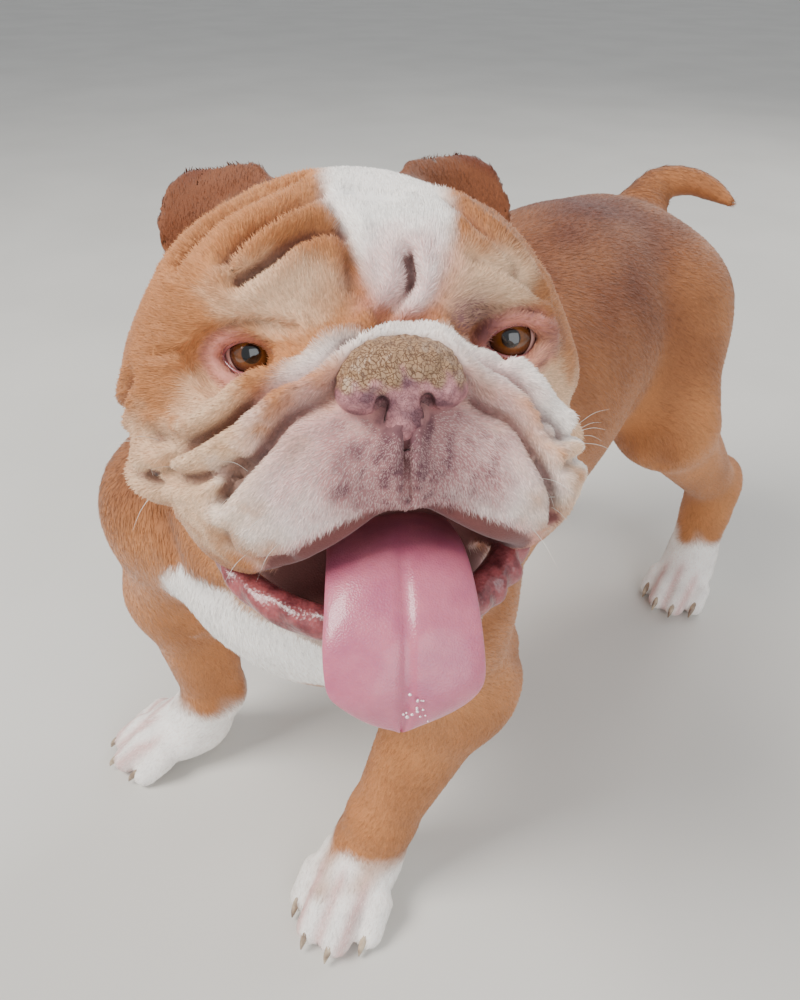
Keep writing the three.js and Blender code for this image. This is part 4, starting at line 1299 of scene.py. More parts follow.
@dataclass(frozen=True)
class EyeFinish:
    """Amber eye with a dark pupil, a darker edge and a wet surface."""

    name: str = "eye_amber"
    pupil_angle: float = 19
    iris_angle: float = 47
    amber: tuple = colour(128, 78, 36)
    brown: tuple = colour(58, 30, 16)
    dark: tuple = colour(8, 6, 6)
    sclera: tuple = colour(206, 160, 150)

    def material(self) -> bpy.types.Material:
        """Builds the node material, which reads the angle from the gaze that the mesh carries."""
        material, make = new_material(self.name)
        angle = make.mask("gaze_angle")
        place = make.add("ShaderNodeTexCoord").outputs["Object"]
        streaks = make.noise(place, 1400, 2)
        iris = make.mix(make.spread(angle, self.pupil_angle + 5, self.iris_angle), self.amber, self.brown)
        iris = make.mix(make.maths("MULTIPLY", streaks, 0.6), iris, self.brown)
        base = make.mix(make.spread(angle, self.pupil_angle - 1.5, self.pupil_angle + 1.5), self.dark, iris)
        base = make.mix(make.spread(angle, self.iris_angle - 4, self.iris_angle), base, self.dark)
        base = make.mix(make.spread(angle, self.iris_angle + 1, self.iris_angle + 5), base, self.sclera)
        shader = make.add("ShaderNodeBsdfPrincipled", {
            "Base Color": base, "Roughness": 0.12, "Coat Weight": 1.0, "Coat Roughness": 0.02,
        })
        make.add("ShaderNodeOutputMaterial", {"Surface": shader.outputs[0]})
        return material


@dataclass(frozen=True)
class WetFinish:
    """Wet bare skin in two colours, with fine grain."""

    name: str
    first: tuple
    second: tuple
    patch_scale: float = 120
    grain_scale: float = 1500
    grain: float = 0.35
    roughness: float = 0.32
    coat: float = 0.5

    def material(self) -> bpy.types.Material:
        """Builds the node material."""
        material, make = new_material(self.name)
        place = make.add("ShaderNodeTexCoord").outputs["Object"]
        patches = make.spread(make.noise(place, self.patch_scale, 4, 0.6), 0.35, 0.68)
        base = make.mix(patches, self.first, self.second)
        cells = make.add("ShaderNodeTexVoronoi", {"Vector": place, "Scale": self.grain_scale})
        bump = make.add("ShaderNodeBump", {
            "Height": cells.outputs["Distance"], "Strength": self.grain, "Distance": 0.0005,
        })
        shader = make.add("ShaderNodeBsdfPrincipled", {
            "Base Color": base, "Roughness": self.roughness, "Coat Weight": self.coat, "Coat Roughness": 0.15,
            "Subsurface Weight": 0.15, "Subsurface Scale": 0.004, "Normal": bump.outputs[0],
        })
        make.add("ShaderNodeOutputMaterial", {"Surface": shader.outputs[0]})
        return material


@dataclass(frozen=True)
class NoseFinish:
    """Dry tan crust on top of pink and mauve leather, with painted shade in the nostrils."""

    name: str = "nose_leather"
    crust: tuple = colour(172, 136, 102)
    crack: tuple = colour(96, 62, 42)
    pink: tuple = colour(190, 128, 130)
    mauve: tuple = colour(112, 70, 78)
    # Near-black painted shade for the insides of the nostrils
    dark: tuple = colour(30, 16, 20)

    def material(self) -> bpy.types.Material:
        """Builds the node material, which reads the crust mask and the mask of the painted nostril shade on
        the mesh.
        """
        material, make = new_material(self.name)
        place = make.add("ShaderNodeTexCoord").outputs["Object"]
        bent = make.add("ShaderNodeTexNoise", {"Vector": place, "Scale": 260, "Detail": 3}).outputs["Color"]
        moved = make.add("ShaderNodeVectorMath", {0: bent, 1: (0.006, 0.006, 0.006)}, operation="MULTIPLY")
        grain = make.add("ShaderNodeVectorMath", {0: place, 1: moved.outputs[0]}, operation="ADD").outputs[0]
        cells = make.add("ShaderNodeTexVoronoi", {"Vector": grain, "Scale": 640}, feature="DISTANCE_TO_EDGE")
        cracks = make.spread(cells.outputs["Distance"], 0.0, 0.12)
        leather = make.mix(make.spread(make.noise(place, 160, 3), 0.4, 0.62), self.pink, self.mauve)
        crust = make.mix(cracks, self.crack, self.crust)
        crust = make.mix(make.maths("MULTIPLY", make.noise(place, 700, 3), 0.4), crust, self.crack)
        base = make.mix(make.mask("crust"), leather, crust)
        # Painted shade: the nostril pits are filled with near-black
        base = make.mix(make.mask("nostril_shade"), base, self.dark)
        bump = make.add("ShaderNodeBump", {"Height": cracks, "Strength": 0.6, "Distance": 0.0006})
        shader = make.add("ShaderNodeBsdfPrincipled", {
            "Base Color": base, "Roughness": 0.5, "Coat Weight": 0.15, "Coat Roughness": 0.3,
            "Normal": bump.outputs[0],
        })
        make.add("ShaderNodeOutputMaterial", {"Surface": shader.outputs[0]})
        return material


@dataclass(frozen=True)
class PlainFinish:
    """Two close colours in soft clouds, for claws, whiskers, bubbles and the floor."""

    name: str
    first: tuple
    second: tuple
    scale: float
    roughness: float
    coat: float = 0.0
    bump: float = 0.1

    def material(self) -> bpy.types.Material:
        """Builds the node material."""
        material, make = new_material(self.name)
        place = make.add("ShaderNodeTexCoord").outputs["Object"]
        cloud = make.noise(place, self.scale, 3)
        base = make.mix(make.spread(cloud, 0.35, 0.65), self.first, self.second)
        bump = make.add("ShaderNodeBump", {"Height": cloud, "Strength": self.bump, "Distance": 0.0004})
        shader = make.add("ShaderNodeBsdfPrincipled", {
            "Base Color": base, "Roughness": self.roughness, "Coat Weight": self.coat,
            "Normal": bump.outputs[0],
        })
        make.add("ShaderNodeOutputMaterial", {"Surface": shader.outputs[0]})
        return material


# Horns: closed forms of rings along a curve, for the tongue, the lower lip, the claws and the whiskers

@dataclass(frozen=True)
class Horn:
    """A closed form of oval rings along a smooth curve.

    The two width lists give the half width on the side of across and on the other side.
    """

    line: Sequence[Point]
    across: Point
    widths: Sequence[float]
    depths: Sequence[float]
    rings: int
    around: int
    other_widths: Sequence[float] | None = None
    round_share: float = 0.0
    push: Callable[[Array, Array, Array], Array] | None = None

    def build(self, name: str, place: Place) -> bpy.types.Object:
        """Makes the mesh object.

        Args:
            name: its name.
            place: the frame in which it is drawn.

        Returns:
            The object.
        """
        points, faces = self.shape(place)
        return mesh_object(name, in_row(points), faces)

    def shape(self, place: Place) -> tuple[Array, list]:
        """Points in the outer frame and faces."""
        t = np.linspace(0, 1, self.rings + 1)
        bend = np.clip((t - 1 + self.round_share) / max(self.round_share, 1e-9), 0, 1)
        t = np.where(bend > 0, 1 - self.round_share * (1 - np.sin(bend * math.pi / 2)), t)
        shrink = np.cos(bend * math.pi / 2 * 0.985)[:, None]
        centres = curve_at(self.line, t)
        tangents = curve_at(self.line, np.minimum(t + 1e-3, 1)) - curve_at(self.line, np.maximum(t - 1e-3, 0))
        tangents /= np.linalg.norm(tangents, axis=1, keepdims=True)
        across = np.asarray(self.across, float)
        out = np.cross(across, tangents)
        out /= np.linalg.norm(out, axis=1, keepdims=True)
        plus = even_curve(self.widths, t)
        minus = even_curve(self.other_widths or self.widths, t)
        depth = even_curve(self.depths, t)
        angle = np.arange(self.around) * 2 * math.pi / self.around
        c, s = np.cos(angle), np.sin(angle)
        width = np.where(c >= 0, plus[:, None], minus[:, None]) * c * shrink
        height = depth[:, None] * s * shrink ** 0.6
        if self.push:
            height = height + self.push(t[:, None] + 0 * c, c + 0 * t[:, None], s + 0 * t[:, None])
        points = centres[:, None] + width[..., None] * across + height[..., None] * out[:, None]
        n = self.around
        faces = ring_faces(self.rings, n)
        ends = points.reshape(-1, 3)
        ends = np.vstack([ends, points[0].mean(0), points[-1].mean(0)])
        last = self.rings * n
        for j in range(n):
            k = (j + 1) % n
            faces += [(len(ends) - 2, k, j), (len(ends) - 1, last + j, last + k)]
        if np.linalg.det(np.stack([across, out[0], tangents[0]])) < 0:
            faces = [f[::-1] for f in faces]
        return place.outside(ends), faces


def ring_faces(rows: int, around: int) -> list:
    """Faces between neighbouring rings of points."""
    faces = []
    for i in range(rows):
        for j in range(around):
            k = (j + 1) % around
            faces.append((i * around + j, i * around + k, (i + 1) * around + k, (i + 1) * around + j))
    return faces


def joined(name: str, shapes: Sequence[tuple[Array, list]]) -> bpy.types.Object:
    """One object from the points and faces of several shapes."""
    points, faces, start = [], [], 0
    for places, sides in shapes:
        faces += [tuple(i + start for i in side) for side in sides]
        points.append(places)
        start += len(places)
    return mesh_object(name, in_row(np.vstack(points)), faces)


def even_curve(values: Sequence[float], t: Array) -> Array:
    """Values along a smooth line through evenly spaced ones."""
    steps = 40
    line = [(i, v, 0) for i, v in enumerate(values)]
    curve = smooth_curve(line, steps * (len(values) - 1))
    return np.maximum(np.interp(t * (len(values) - 1), curve[:, 0], curve[:, 1]), 0.01)


# The pieces

@dataclass
class Skin:
    """The skin of the whole dog, in one piece."""

    cell: float = 3.3
    face_edge: float = 2.3 * 1.25
    ear_edge: float = 3.2
    fold_edge: float = 1.9
    lid_edge: float = 1.7
    low: Point = (-158, -268, -6)
    high: Point = (180, 286, 450)

    def build(self) -> bpy.types.Object:
        """Makes the skin and stores the facts of the coat on it.

        Returns:
            The skin object.
        """
        surface = surface_of(DOG.at, self.low, self.high, self.cell)
        surface.fit(DOG.at, 1, self.cell)
        surface.relax(1)
        surface.refine(self.wanted_edge)
        surface.relax(1, 0.35)
        surface.fit(DOG.at, 2, self.cell / 2)
        surface.largest_piece()
        outward = surface.fit(DOG.at, 1, self.cell / 3)
        surface.points[:, 2] = np.maximum(surface.points[:, 2], 0)
        skin = surface.mesh("skin")
        log.info("skin: %d triangles", len(surface.triangles))
        self.facts = SkinFacts(surface.points, outward)
        self.store(skin.data)
        skin.data.materials.append(CoatFinish("coat_skin", False).material())
        return skin

    def wanted_edge(self, middle: Array) -> Array:
        """Longest edge wanted at each place: short on the face, on the ears, in folds and round the eyes."""
        local = HEAD.inside(middle)
        face = np.sqrt((((local - (0, -20, -30)) / (96, 52, 82)) ** 2).sum(1))
        eyes = np.minimum(*(np.linalg.norm(local - np.array(EYE_PLACE) * (s, 1, 1), axis=1) for s in (-1, 1)))
        wanted = np.where(face < 1, self.face_edge, 99.0)
        for ear in EARS.values():
            wanted = np.where(ear.at(middle) < 4, np.minimum(wanted, self.ear_edge), wanted)
        wanted = np.where(DOG.head.folded(local) > 0.05, np.minimum(wanted, self.fold_edge), wanted)
        return np.where(eyes < 19, self.lid_edge, wanted)

    def store(self, mesh: bpy.types.Mesh) -> None:
        """Stores the markings, the lie and the length of the coat."""
        facts = self.facts
        for marking, values in facts.markings().items():
            set_attribute(mesh, marking.value, values)
        set_attribute(mesh, "lie", facts.lie())
        set_attribute(mesh, "hair_length", facts.length() * MM)
        self.hairy = 1 - facts.bare()

    def unwrap(self, skin: bpy.types.Object) -> None:
        """Unwraps the skin's own shape into flat pieces, as the map named unwrap."""
        skin.data.uv_layers.new(name="unwrap")
        bpy.context.view_layer.objects.active = skin
        skin.select_set(True)
        bpy.ops.object.mode_set(mode="EDIT")
        bpy.ops.mesh.select_all(action="SELECT")
        bpy.ops.uv.smart_project(angle_limit=math.radians(70), island_margin=0.001)
        bpy.ops.object.mode_set(mode="OBJECT")
        skin.select_set(False)


@dataclass(frozen=True)
class CoatZone:
    """A part of the skin whose tufts make one piece."""

    name: str
    tufts: int
    width: float
    lift: float
    chosen: Callable[[SkinFacts], Array]


def fore_share(facts: SkinFacts) -> Array:
    """How much each point belongs to the forelegs."""
    return np.maximum(facts.legs["fore_left"], facts.legs["fore_right"])


def hind_share(facts: SkinFacts) -> Array:
    """How much each point belongs to the hind legs."""
    return np.maximum(facts.legs["hind_left"], facts.legs["hind_right"])


def on_body(facts: SkinFacts, low: float, high: float) -> Array:
    """Points of the body between two places along it."""
    y = facts.points[:, 1]
    free = (facts.head < 0.5) & (fore_share(facts) < 0.5) & (hind_share(facts) < 0.5)
    return free & (y >= low) & (y < high)


@dataclass
class Coat:
    """Short flat tufts over the skin, one piece for each zone."""

    patch: float = 0.003
    zones: tuple[CoatZone, ...] = (
        CoatZone("coat_face_right", 49000, 0.36, 0.2,
                 lambda f: (f.head >= 0.5) & (f.local[:, 0] < 0) & (f.local[:, 1] < 12)),
        CoatZone("coat_face_left", 49000, 0.36, 0.2,
                 lambda f: (f.head >= 0.5) & (f.local[:, 0] >= 0) & (f.local[:, 1] < 12)),
        CoatZone("coat_scalp", 48000, 0.42, 0.15, lambda f: (f.head >= 0.5) & (f.local[:, 1] >= 12)),
        CoatZone("coat_neck", 48000, 0.58, 0.11, lambda f: on_body(f, -400, -60)),
        CoatZone("coat_back", 48000, 0.6, 0.1, lambda f: on_body(f, -60, 80)),
        CoatZone("coat_rump", 46000, 0.6, 0.1, lambda f: on_body(f, 80, 400)),
        CoatZone("coat_forelegs", 48000, 0.52, 0.12, lambda f: (fore_share(f) >= 0.5) & (f.head < 0.5)),
        CoatZone("coat_hindlegs", 46000, 0.55, 0.12, lambda f: (hind_share(f) >= 0.5) & (f.head < 0.5)),
    )

    def tree(self) -> bpy.types.NodeTree:
        """Builds the geometry tree that sets one tuft on each of many random places of the skin.

        Returns:
            The tree. Its inputs are Skin, Tufts per area, Tuft width, Lift, Seed and Finish.
        """
        tree = bpy.data.node_groups.new("tufts", "GeometryNodeTree")
        make = NodeMaker(tree)
        sockets = (("Skin", "Geometry"), ("Tufts per area", "Float"), ("Tuft width", "Float"),
                   ("Lift", "Float"), ("Seed", "Int"), ("Finish", "Material"))
        for name, kind in sockets:
            tree.interface.new_socket(name=name, in_out="INPUT", socket_type="NodeSocket" + kind)
        tree.interface.new_socket(name="Tufts", in_out="OUTPUT", socket_type="NodeSocketGeometry")
        given = make.add("NodeGroupInput").outputs
        density = make.maths("MULTIPLY", given["Tufts per area"], self.named(make, "tuft_share"))
        roots = make.add("GeometryNodeDistributePointsOnFaces", {
            "Mesh": given["Skin"], "Density": density, "Seed": given["Seed"],
        })
        points = roots.outputs["Points"]
        unwrap = self.named(make, "unwrap", "FLOAT_VECTOR")
        points = self.keep(make, points, "root_place", unwrap, "FLOAT_VECTOR")
        points = self.keep(make, points, "strand", self.random(make, 0.0, 0.36, 3), "FLOAT")
        up = make.add("FunctionNodeAlignRotationToVector", {"Vector": roots.outputs["Normal"]}, axis="Z")
        along = make.add("FunctionNodeAlignRotationToVector", {
            "Rotation": up.outputs[0], "Vector": self.named(make, "lie", "FLOAT_VECTOR"),
        }, axis="Y", pivot_axis="Z")
        sway = make.add("FunctionNodeRandomValue", {
            "Min": (-0.07, -0.35, -0.26), "Max": (0.1, 0.35, 0.26), "Seed": 5,
        }, data_type="FLOAT_VECTOR")
        sway = make.add("FunctionNodeEulerToRotation", {"Euler": sway.outputs[0]})
        turned = make.add("FunctionNodeRotateRotation", {
            "Rotation": along.outputs[0], "Rotate By": sway.outputs[0],
        }, rotation_space="LOCAL")
        length = make.maths("MULTIPLY", self.named(make, "hair_length"), self.random(make, 0.65, 1.2, 7))
        size = make.add("ShaderNodeCombineXYZ", {"X": given["Tuft width"], "Y": length, "Z": length})
        tufts = make.add("GeometryNodeInstanceOnPoints", {
            "Points": points, "Instance": self.blade(make, given["Lift"]),
            "Rotation": turned.outputs[0], "Scale": size.outputs[0],
        })
        solid = make.add("GeometryNodeRealizeInstances", {"Geometry": tufts.outputs[0]})
        finished = make.add("GeometryNodeSetMaterial", {
            "Geometry": solid.outputs[0], "Material": given["Finish"],
        })
        make.add("NodeGroupOutput", {"Tufts": finished.outputs[0]})
        return tree

    def named(self, make: NodeMaker, name: str, kind: str = "FLOAT") -> bpy.types.NodeSocket:
        """Reads an attribute of the skin."""
        node = make.add("GeometryNodeInputNamedAttribute", {"Name": name}, data_type=kind)
        return node.outputs["Attribute"]

    def random(self, make: NodeMaker, low: float, high: float, seed: int) -> bpy.types.NodeSocket:
        """A random number for each root."""
        node = make.add("FunctionNodeRandomValue", {2: low, 3: high, "Seed": seed}, data_type="FLOAT")
        return node.outputs[1]

    def keep(
        self, make: NodeMaker, points: object, name: str, value: object, kind: str,
    ) -> bpy.types.NodeSocket:
        """Stores a value on points, for the tufts that stand on them."""
        node = make.add("GeometryNodeStoreNamedAttribute", {"Geometry": points, "Name": name},
                        data_type=kind, domain="POINT")
        make.tree.links.new(value, node.inputs["Value"])
        return node.outputs[0]

    def blade(self, make: NodeMaker, lift: object) -> bpy.types.NodeSocket:
        """One tuft of width 1 and length 1 along Y: it narrows to its tip, rises and bends back down."""
        grid = make.add("GeometryNodeMeshGrid", {
            "Size X": 1.0, "Size Y": 1.0, "Vertices X": 2, "Vertices Y": 3,
        })
        mesh = self.keep(make, grid.outputs["Mesh"], "patch", grid.outputs["UV Map"], "FLOAT_VECTOR")
        position = make.add("GeometryNodeInputPosition").outputs[0]
        place = make.add("ShaderNodeSeparateXYZ", {0: position}).outputs
        along = make.maths("ADD", place["Y"], 0.5)
        square = make.maths("MULTIPLY", along, along)
        narrow = make.maths("SUBTRACT", 1.0, make.maths("MULTIPLY", square, 0.94))
        arch = make.maths("SUBTRACT", make.maths("MULTIPLY", along, 1.6), square)
        rise = make.maths("MULTIPLY", lift, arch)
        shaped = make.add("ShaderNodeCombineXYZ", {
            "X": make.maths("MULTIPLY", place["X"], narrow),
            "Y": make.maths("SUBTRACT", along, 0.1),
            "Z": make.maths("SUBTRACT", rise, 0.04),
        })
        moved = make.add("GeometryNodeSetPosition", {"Geometry": mesh, "Position": shaped.outputs[0]})
        return moved.outputs[0]

    def build(self, skin: bpy.types.Object, facts: SkinFacts, hairy: Array) -> list[bpy.types.Object]:
        """Makes the tufts of every zone.

        Args:
            skin: the skin, with the facts of the coat stored on it.
            facts: the same facts as arrays.
            hairy: 1 where hair grows and 0 where none does.

        Returns:
            One plain mesh object for each zone.
        """
        tree = self.tree()
        finish = CoatFinish("coat_tufts", True).material()
        named = {item.name: item.identifier for item in tree.interface.items_tree if item.in_out == "INPUT"}
        corners = facts.points[triangle_corners(skin.data)] * MM
        sides = corners[:, 1:] - corners[:, :1]
        area = np.linalg.norm(np.cross(sides[:, 0], sides[:, 1]), axis=1) / 2
        pieces = []
        for seed, zone in enumerate(self.zones, start=1):
            share = zone.chosen(facts) * hairy
            covered = float((area * share[triangle_corners(skin.data)].mean(1)).sum())
            set_attribute(skin.data, "tuft_share", share)
            modifier = skin.modifiers.new("tufts", "NODES")
            modifier.node_group = tree
            modifier[named["Tufts per area"]] = zone.tufts / covered
            modifier[named["Tuft width"]] = zone.width * MM
            modifier[named["Lift"]] = zone.lift
            modifier[named["Seed"]] = seed
            modifier[named["Finish"]] = finish
            ready = skin.evaluated_get(bpy.context.evaluated_depsgraph_get())
            mesh = bpy.data.meshes.new_from_object(ready)
            skin.modifiers.remove(modifier)
            piece = bpy.data.objects.new(zone.name, mesh)
            bpy.context.scene.collection.objects.link(piece)
            self.place_patches(mesh)
            log.info("%s: %d triangles on %.4f square metres", zone.name, 2 * len(mesh.polygons), covered)
            pieces.append(piece)
        skin.data.attributes.remove(skin.data.attributes["tuft_share"])
        return pieces

    def place_patches(self, mesh: bpy.types.Mesh) -> None:
        """Gives each tuft its own small patch of the map, at its root's place on the skin's unwrap."""
        root, patch = get_attribute(mesh, "root_place"), get_attribute(mesh, "patch")
        at = (root + (patch - 0.5) * self.patch)[:, :2]
        corner = np.empty(len(mesh.loops), np.int32)
        mesh.loops.foreach_get("vertex_index", corner)
        for layer in list(mesh.uv_layers):
            mesh.uv_layers.remove(layer)
        made = mesh.uv_layers.new(name="OFBake")
        made.data.foreach_set("uv", np.ascontiguousarray(at[corner], np.float32).ravel())
        for name in ("root_place", "patch", "lie", "hair_length", "tuft_share"):
            if name in mesh.attributes:
                mesh.attributes.remove(mesh.attributes[name])


def triangle_corners(mesh: bpy.types.Mesh) -> Array:
    """Point numbers of each triangle of a mesh that has only triangles."""
    corners = np.empty(len(mesh.loops), np.int32)
    mesh.loops.foreach_get("vertex_index", corners)
    return corners.reshape(-1, 3)


@dataclass
class Eyes:
    """Both eyeballs, each with a raised clear front, and the wet rims of the lids."""

    rings: int = 56
    around: int = 72
    bulge: float = 0.7
    rim_radius: float = 0.8

    def ball(self, name: str, side: float, gaze: Array) -> bpy.types.Object:
        """One eyeball whose poles lie on its gaze.

        Args:
            name: its name.
            side: 1 for the dog's left and -1 for its right.
            gaze: where it looks, in the head's frame.

        Returns:
            The object, which carries the angle from the gaze in degrees.
        """
        centre = np.array(EYE_PLACE, float) * (side, 1, 1)
        ahead = gaze / np.linalg.norm(gaze)
        right = np.cross(ahead, (0, 0, 1.0))
        right /= np.linalg.norm(right)
        up = np.cross(right, ahead)
        angle = np.linspace(0, math.pi, self.rings + 1)[1:-1]
        turn = np.arange(self.around) * 2 * math.pi / self.around
        radius = EYE_RADIUS - 0.25 + self.bulge * (1 - ramp(np.degrees(angle), 10, 46))
        a, b = angle[:, None, None], turn[None, :, None]
        ways = np.cos(a) * ahead + np.sin(a) * (np.cos(b) * right + np.sin(b) * up)
        shell = (ways * radius[:, None, None]).reshape(-1, 3)
        poles = np.array([ahead * (EYE_RADIUS - 0.25 + self.bulge), -ahead * (EYE_RADIUS - 0.25)])
        points = np.vstack([shell, poles]) + centre
        n = self.around
        faces = [(len(shell), (j + 1) % n, j) for j in range(n)]
        faces += ring_faces(self.rings - 2, n)
        last = (self.rings - 2) * n
        faces += [(len(shell) + 1, last + j, last + (j + 1) % n) for j in range(n)]
        ball = mesh_object(name, in_row(HEAD.outside(points)), [f[::-1] for f in faces])
        degrees = np.concatenate([np.repeat(np.degrees(angle), n), [0, 180]])
        set_attribute(ball.data, "gaze_angle", degrees)
        return ball

    def rim(self, name: str, side: float) -> bpy.types.Object:
        """The wet rim of one eye's lids, a closed rope that lies on the eyeball."""
        centre = np.array(EYE_PLACE, float) * (side, 1, 1)
        ring = (np.array(LID_RING[:-1]) * (0.86, 1, 0.82)) * (side, 1, 1)
        ring /= np.linalg.norm(ring, axis=1, keepdims=True)
        ring = ring * (EYE_RADIUS + 0.7) + centre
        return closed_rope(name, HEAD, ring, self.rim_radius, 72, 12)


def closed_rope(
    name: str, place: Place, ring: Array, radius: float, steps: int, around: int,
) -> bpy.types.Object:
    """A rope whose ends meet.

    Args:
        name: its name.
        place: the frame in which it is drawn.
        ring: points that it passes, each once.
        radius: its radius.
        steps: rings along it.
        around: points round it.

    Returns:
        The object.
    """
    n = len(ring)
    looped = np.vstack([ring, ring, ring])
    line = smooth_curve(looped, (3 * n - 1) * steps // n)
    start = n * steps // n
    centres = line[start:start + steps]
    tangents = np.roll(centres, -1, 0) - np.roll(centres, 1, 0)
    tangents /= np.linalg.norm(tangents, axis=1, keepdims=True)
    middle = centres.mean(0)
    first = centres - middle
    first -= tangents * (first * tangents).sum(1, keepdims=True)
    first /= np.linalg.norm(first, axis=1, keepdims=True)
    second = np.cross(tangents, first)
    angle = np.arange(around) * 2 * math.pi / around
    points = centres[:, None] + radius * (
        np.cos(angle)[None, :, None] * first[:, None] + np.sin(angle)[None, :, None] * second[:, None])
    faces = []
    for i in range(steps):
        for j in range(around):
            k, m = (j + 1) % around, (i + 1) % steps
            faces.append((i * around + j, i * around + k, m * around + k, m * around + j)[::-1])
    return mesh_object(name, in_row(place.outside(points.reshape(-1, 3))), faces)


@dataclass
class Nose:
    """The leather of the nose, with its nostrils and crust."""

    cell: float = 0.9
    crust_height: float = -2.5

    def at(self, points: Array) -> Array:
        """Distance to the leather, for points of the head's frame."""
        p = points.copy()
        p[:, 0] = np.abs(points[:, 0])
        d = noise_free_nose(points)
        d += 0.35 + 0.35 * ripple(points, 2.6, 61) * ramp(points[:, 2], -9, 0)
        d += crease([(0, -62, 8), (0, -64, -4), (0, -66, -24)], 1.4, 1.3)(points)
        hole = rope([(7.5, -68, -8), (7.5, -58, -10), (9, -56, -14)], (1.7, 2.4, 2.4))(p)
        slit = rope([(8, -60, -15), (14, -60, -16.5), (20, -55, -15)], (2.6, 2, 1.2))(p)
        return soft_max(soft_max(d, -hole, 1.4), -slit, 1)

    def build(self) -> bpy.types.Object:
        """Makes the nose and stores where its crust is and where the painted shade of its nostrils goes."""
        surface = surface_of(self.at, (-27, -70, -30), (27, -32, 16), self.cell)
        surface.fit(self.at, 2, self.cell)
        surface.relax(1, 0.3)
        surface.fit(self.at, 2, self.cell)
        surface.largest_piece()
        local = surface.points.copy()
        surface.points = HEAD.outside(local)
        nose = surface.mesh("nose_leather")
        side = np.abs(local[:, 0])
        top = local[:, 2] + 0.45 * np.maximum(6 - side, 0) * -1 + 2 * ripple(local, 4, 62)
        set_attribute(nose.data, "crust", ramp(top, self.crust_height - 4, self.crust_height + 1))
        p = local.copy()
        p[:, 0] = side
        # Where the nostril pits are, for the painted shade inside them
        hole = rope([(7.5, -60, -8), (8, -57, -12), (10, -57, -16), (17, -56, -16)], (1.6, 2.4, 2.4, 1))(p)
        set_attribute(nose.data, "nostril_shade", 1 - ramp(hole, -0.6, 1.6))
        log.info("nose: %d triangles", len(surface.triangles))
        return nose


@dataclass
class Mouth:
    """The tongue with its groove and bubbles, and the lower lip."""

    bubble_count: int = 16

    def tongue_push(self, t: Array, side: Array, face: Array) -> Array:
        """How far the tongue's surface moves: down at its edges, and in along its groove."""
        top = np.maximum(-face, 0)
        groove = 1.9 * np.exp(-((side - 0.05) / 0.07) ** 2) * ramp(t, 0.25, 0.5) * top
        waves = 0.35 * np.sin(17 * t + 5 * side) * top
        return 2.2 * side * side + groove + waves

    def tongue(self) -> bpy.types.Object:
        """The tongue, which hangs out over the lower lip."""
        w, d = TONGUE_WIDTH, TONGUE_THICKNESS
        line = [(-2, 14, -76), (-2, -20, -71), (-3, -48, -73), (-5, -69, -89), (-7, -77, -109),
                (-8, -76, -125)]
        horn = Horn(
            line, (1, 0, 0),
            [0.36 * w, 0.4 * w, 0.42 * w, 0.43 * w, 0.45 * w, 0.47 * w, 0.49 * w, 0.5 * w, 0.5 * w],
            [0.5 * d, 0.5 * d, 0.48 * d, 0.42 * d, 0.36 * d, 0.3 * d],
            100, 96,
            [0.36 * w, 0.4 * w, 0.42 * w, 0.43 * w, 0.44 * w, 0.45 * w, 0.43 * w, 0.36 * w, 0.3 * w],
            0.26,
            self.tongue_push,
        )
        return horn.build("tongue_flesh", HEAD)

    def lip_push(self, t: Array, side: Array, face: Array) -> Array:
        """Lobes along the lower lip, deepest on the dog's left."""
        left = ramp(t, 0.66, 0.76)
        lobes = 1.5 * np.sin(2 * math.pi * 17 * t) * left + 0.6 * np.sin(2 * math.pi * 11 * t + 3 * side)
        return lobes * np.maximum(-face, 0) - 0.8 * np.maximum(-face, 0)

    def lower_lip(self) -> bpy.types.Object:
        """The lower lip, dark and lobed, on which the tongue lies."""
        line = [(-72, 6, -76), (-62, -18, -88), (-38, -40, -96), (-8, -48, -98), (22, -42, -96),
                (44, -22, -88), (53, 6, -76)]
        widths, depths = [4, 6, 7, 6, 8, 8, 5], [4, 6, 6, 6, 7, 7, 5]
        horn = Horn(line, (0, 0, 1), widths, depths, 180, 40, push=self.lip_push)
        return horn.build("lower_lip_flesh", HEAD)

    def bubbles(self) -> bpy.types.Object:
        """A few small wet bubbles near the tip of the tongue."""
        draw = np.random.default_rng(8)
        shapes = []
        for _ in range(self.bubble_count):
            centre = np.array((draw.normal(-2, 2.2), -80.6 + draw.normal(0, 0.2), draw.normal(-112, 2.6)))
            radius = draw.uniform(0.3, 0.9)
            ball = Horn([centre - (0, 0, radius), centre, centre + (0, 0, radius)], (1, 0, 0),
                        [0.1 * radius, radius, 0.1 * radius], [0.1 * radius, radius, 0.1 * radius], 10, 14)
            shapes.append(ball.shape(HEAD))
        return joined("bubbles", shapes)


@dataclass
class Claws:
    """Sixteen claws, joined into one piece."""

    turn_down: float = 32

    def build(self) -> bpy.types.Object:
        """Makes all the claws from the sizes of their paws."""
        length, radius = CLAW_LENGTH, CLAW_RADIUS
        horn = Horn(
            [(0, 0.45 * length, 0.02 * length), (0, 0.1 * length, 0.06 * length),
             (0, -0.25 * length, 0.02 * length), (0, -0.55 * length, -0.12 * length)],
            (1, 0, 0), [0.8 * radius, 0.76 * radius, 0.56 * radius, 0.14 * radius],
            [radius, 0.94 * radius, 0.7 * radius, 0.16 * radius], 18, 20,
        )
        shapes = []
        for leg in LEGS.values():
            for across, ahead, share in TOES:
                r, w = share * leg.paw_width, leg.paw_width
                foot = (across * w * 1.06, -(ahead + 0.1) * w - 0.72 * r, 0.9 * r)
                shapes.append(horn.shape(leg.paw_place.child(foot, turn_about("X", self.turn_down))))
        log.info("claws: %d", len(shapes))
        return joined("claws", shapes)


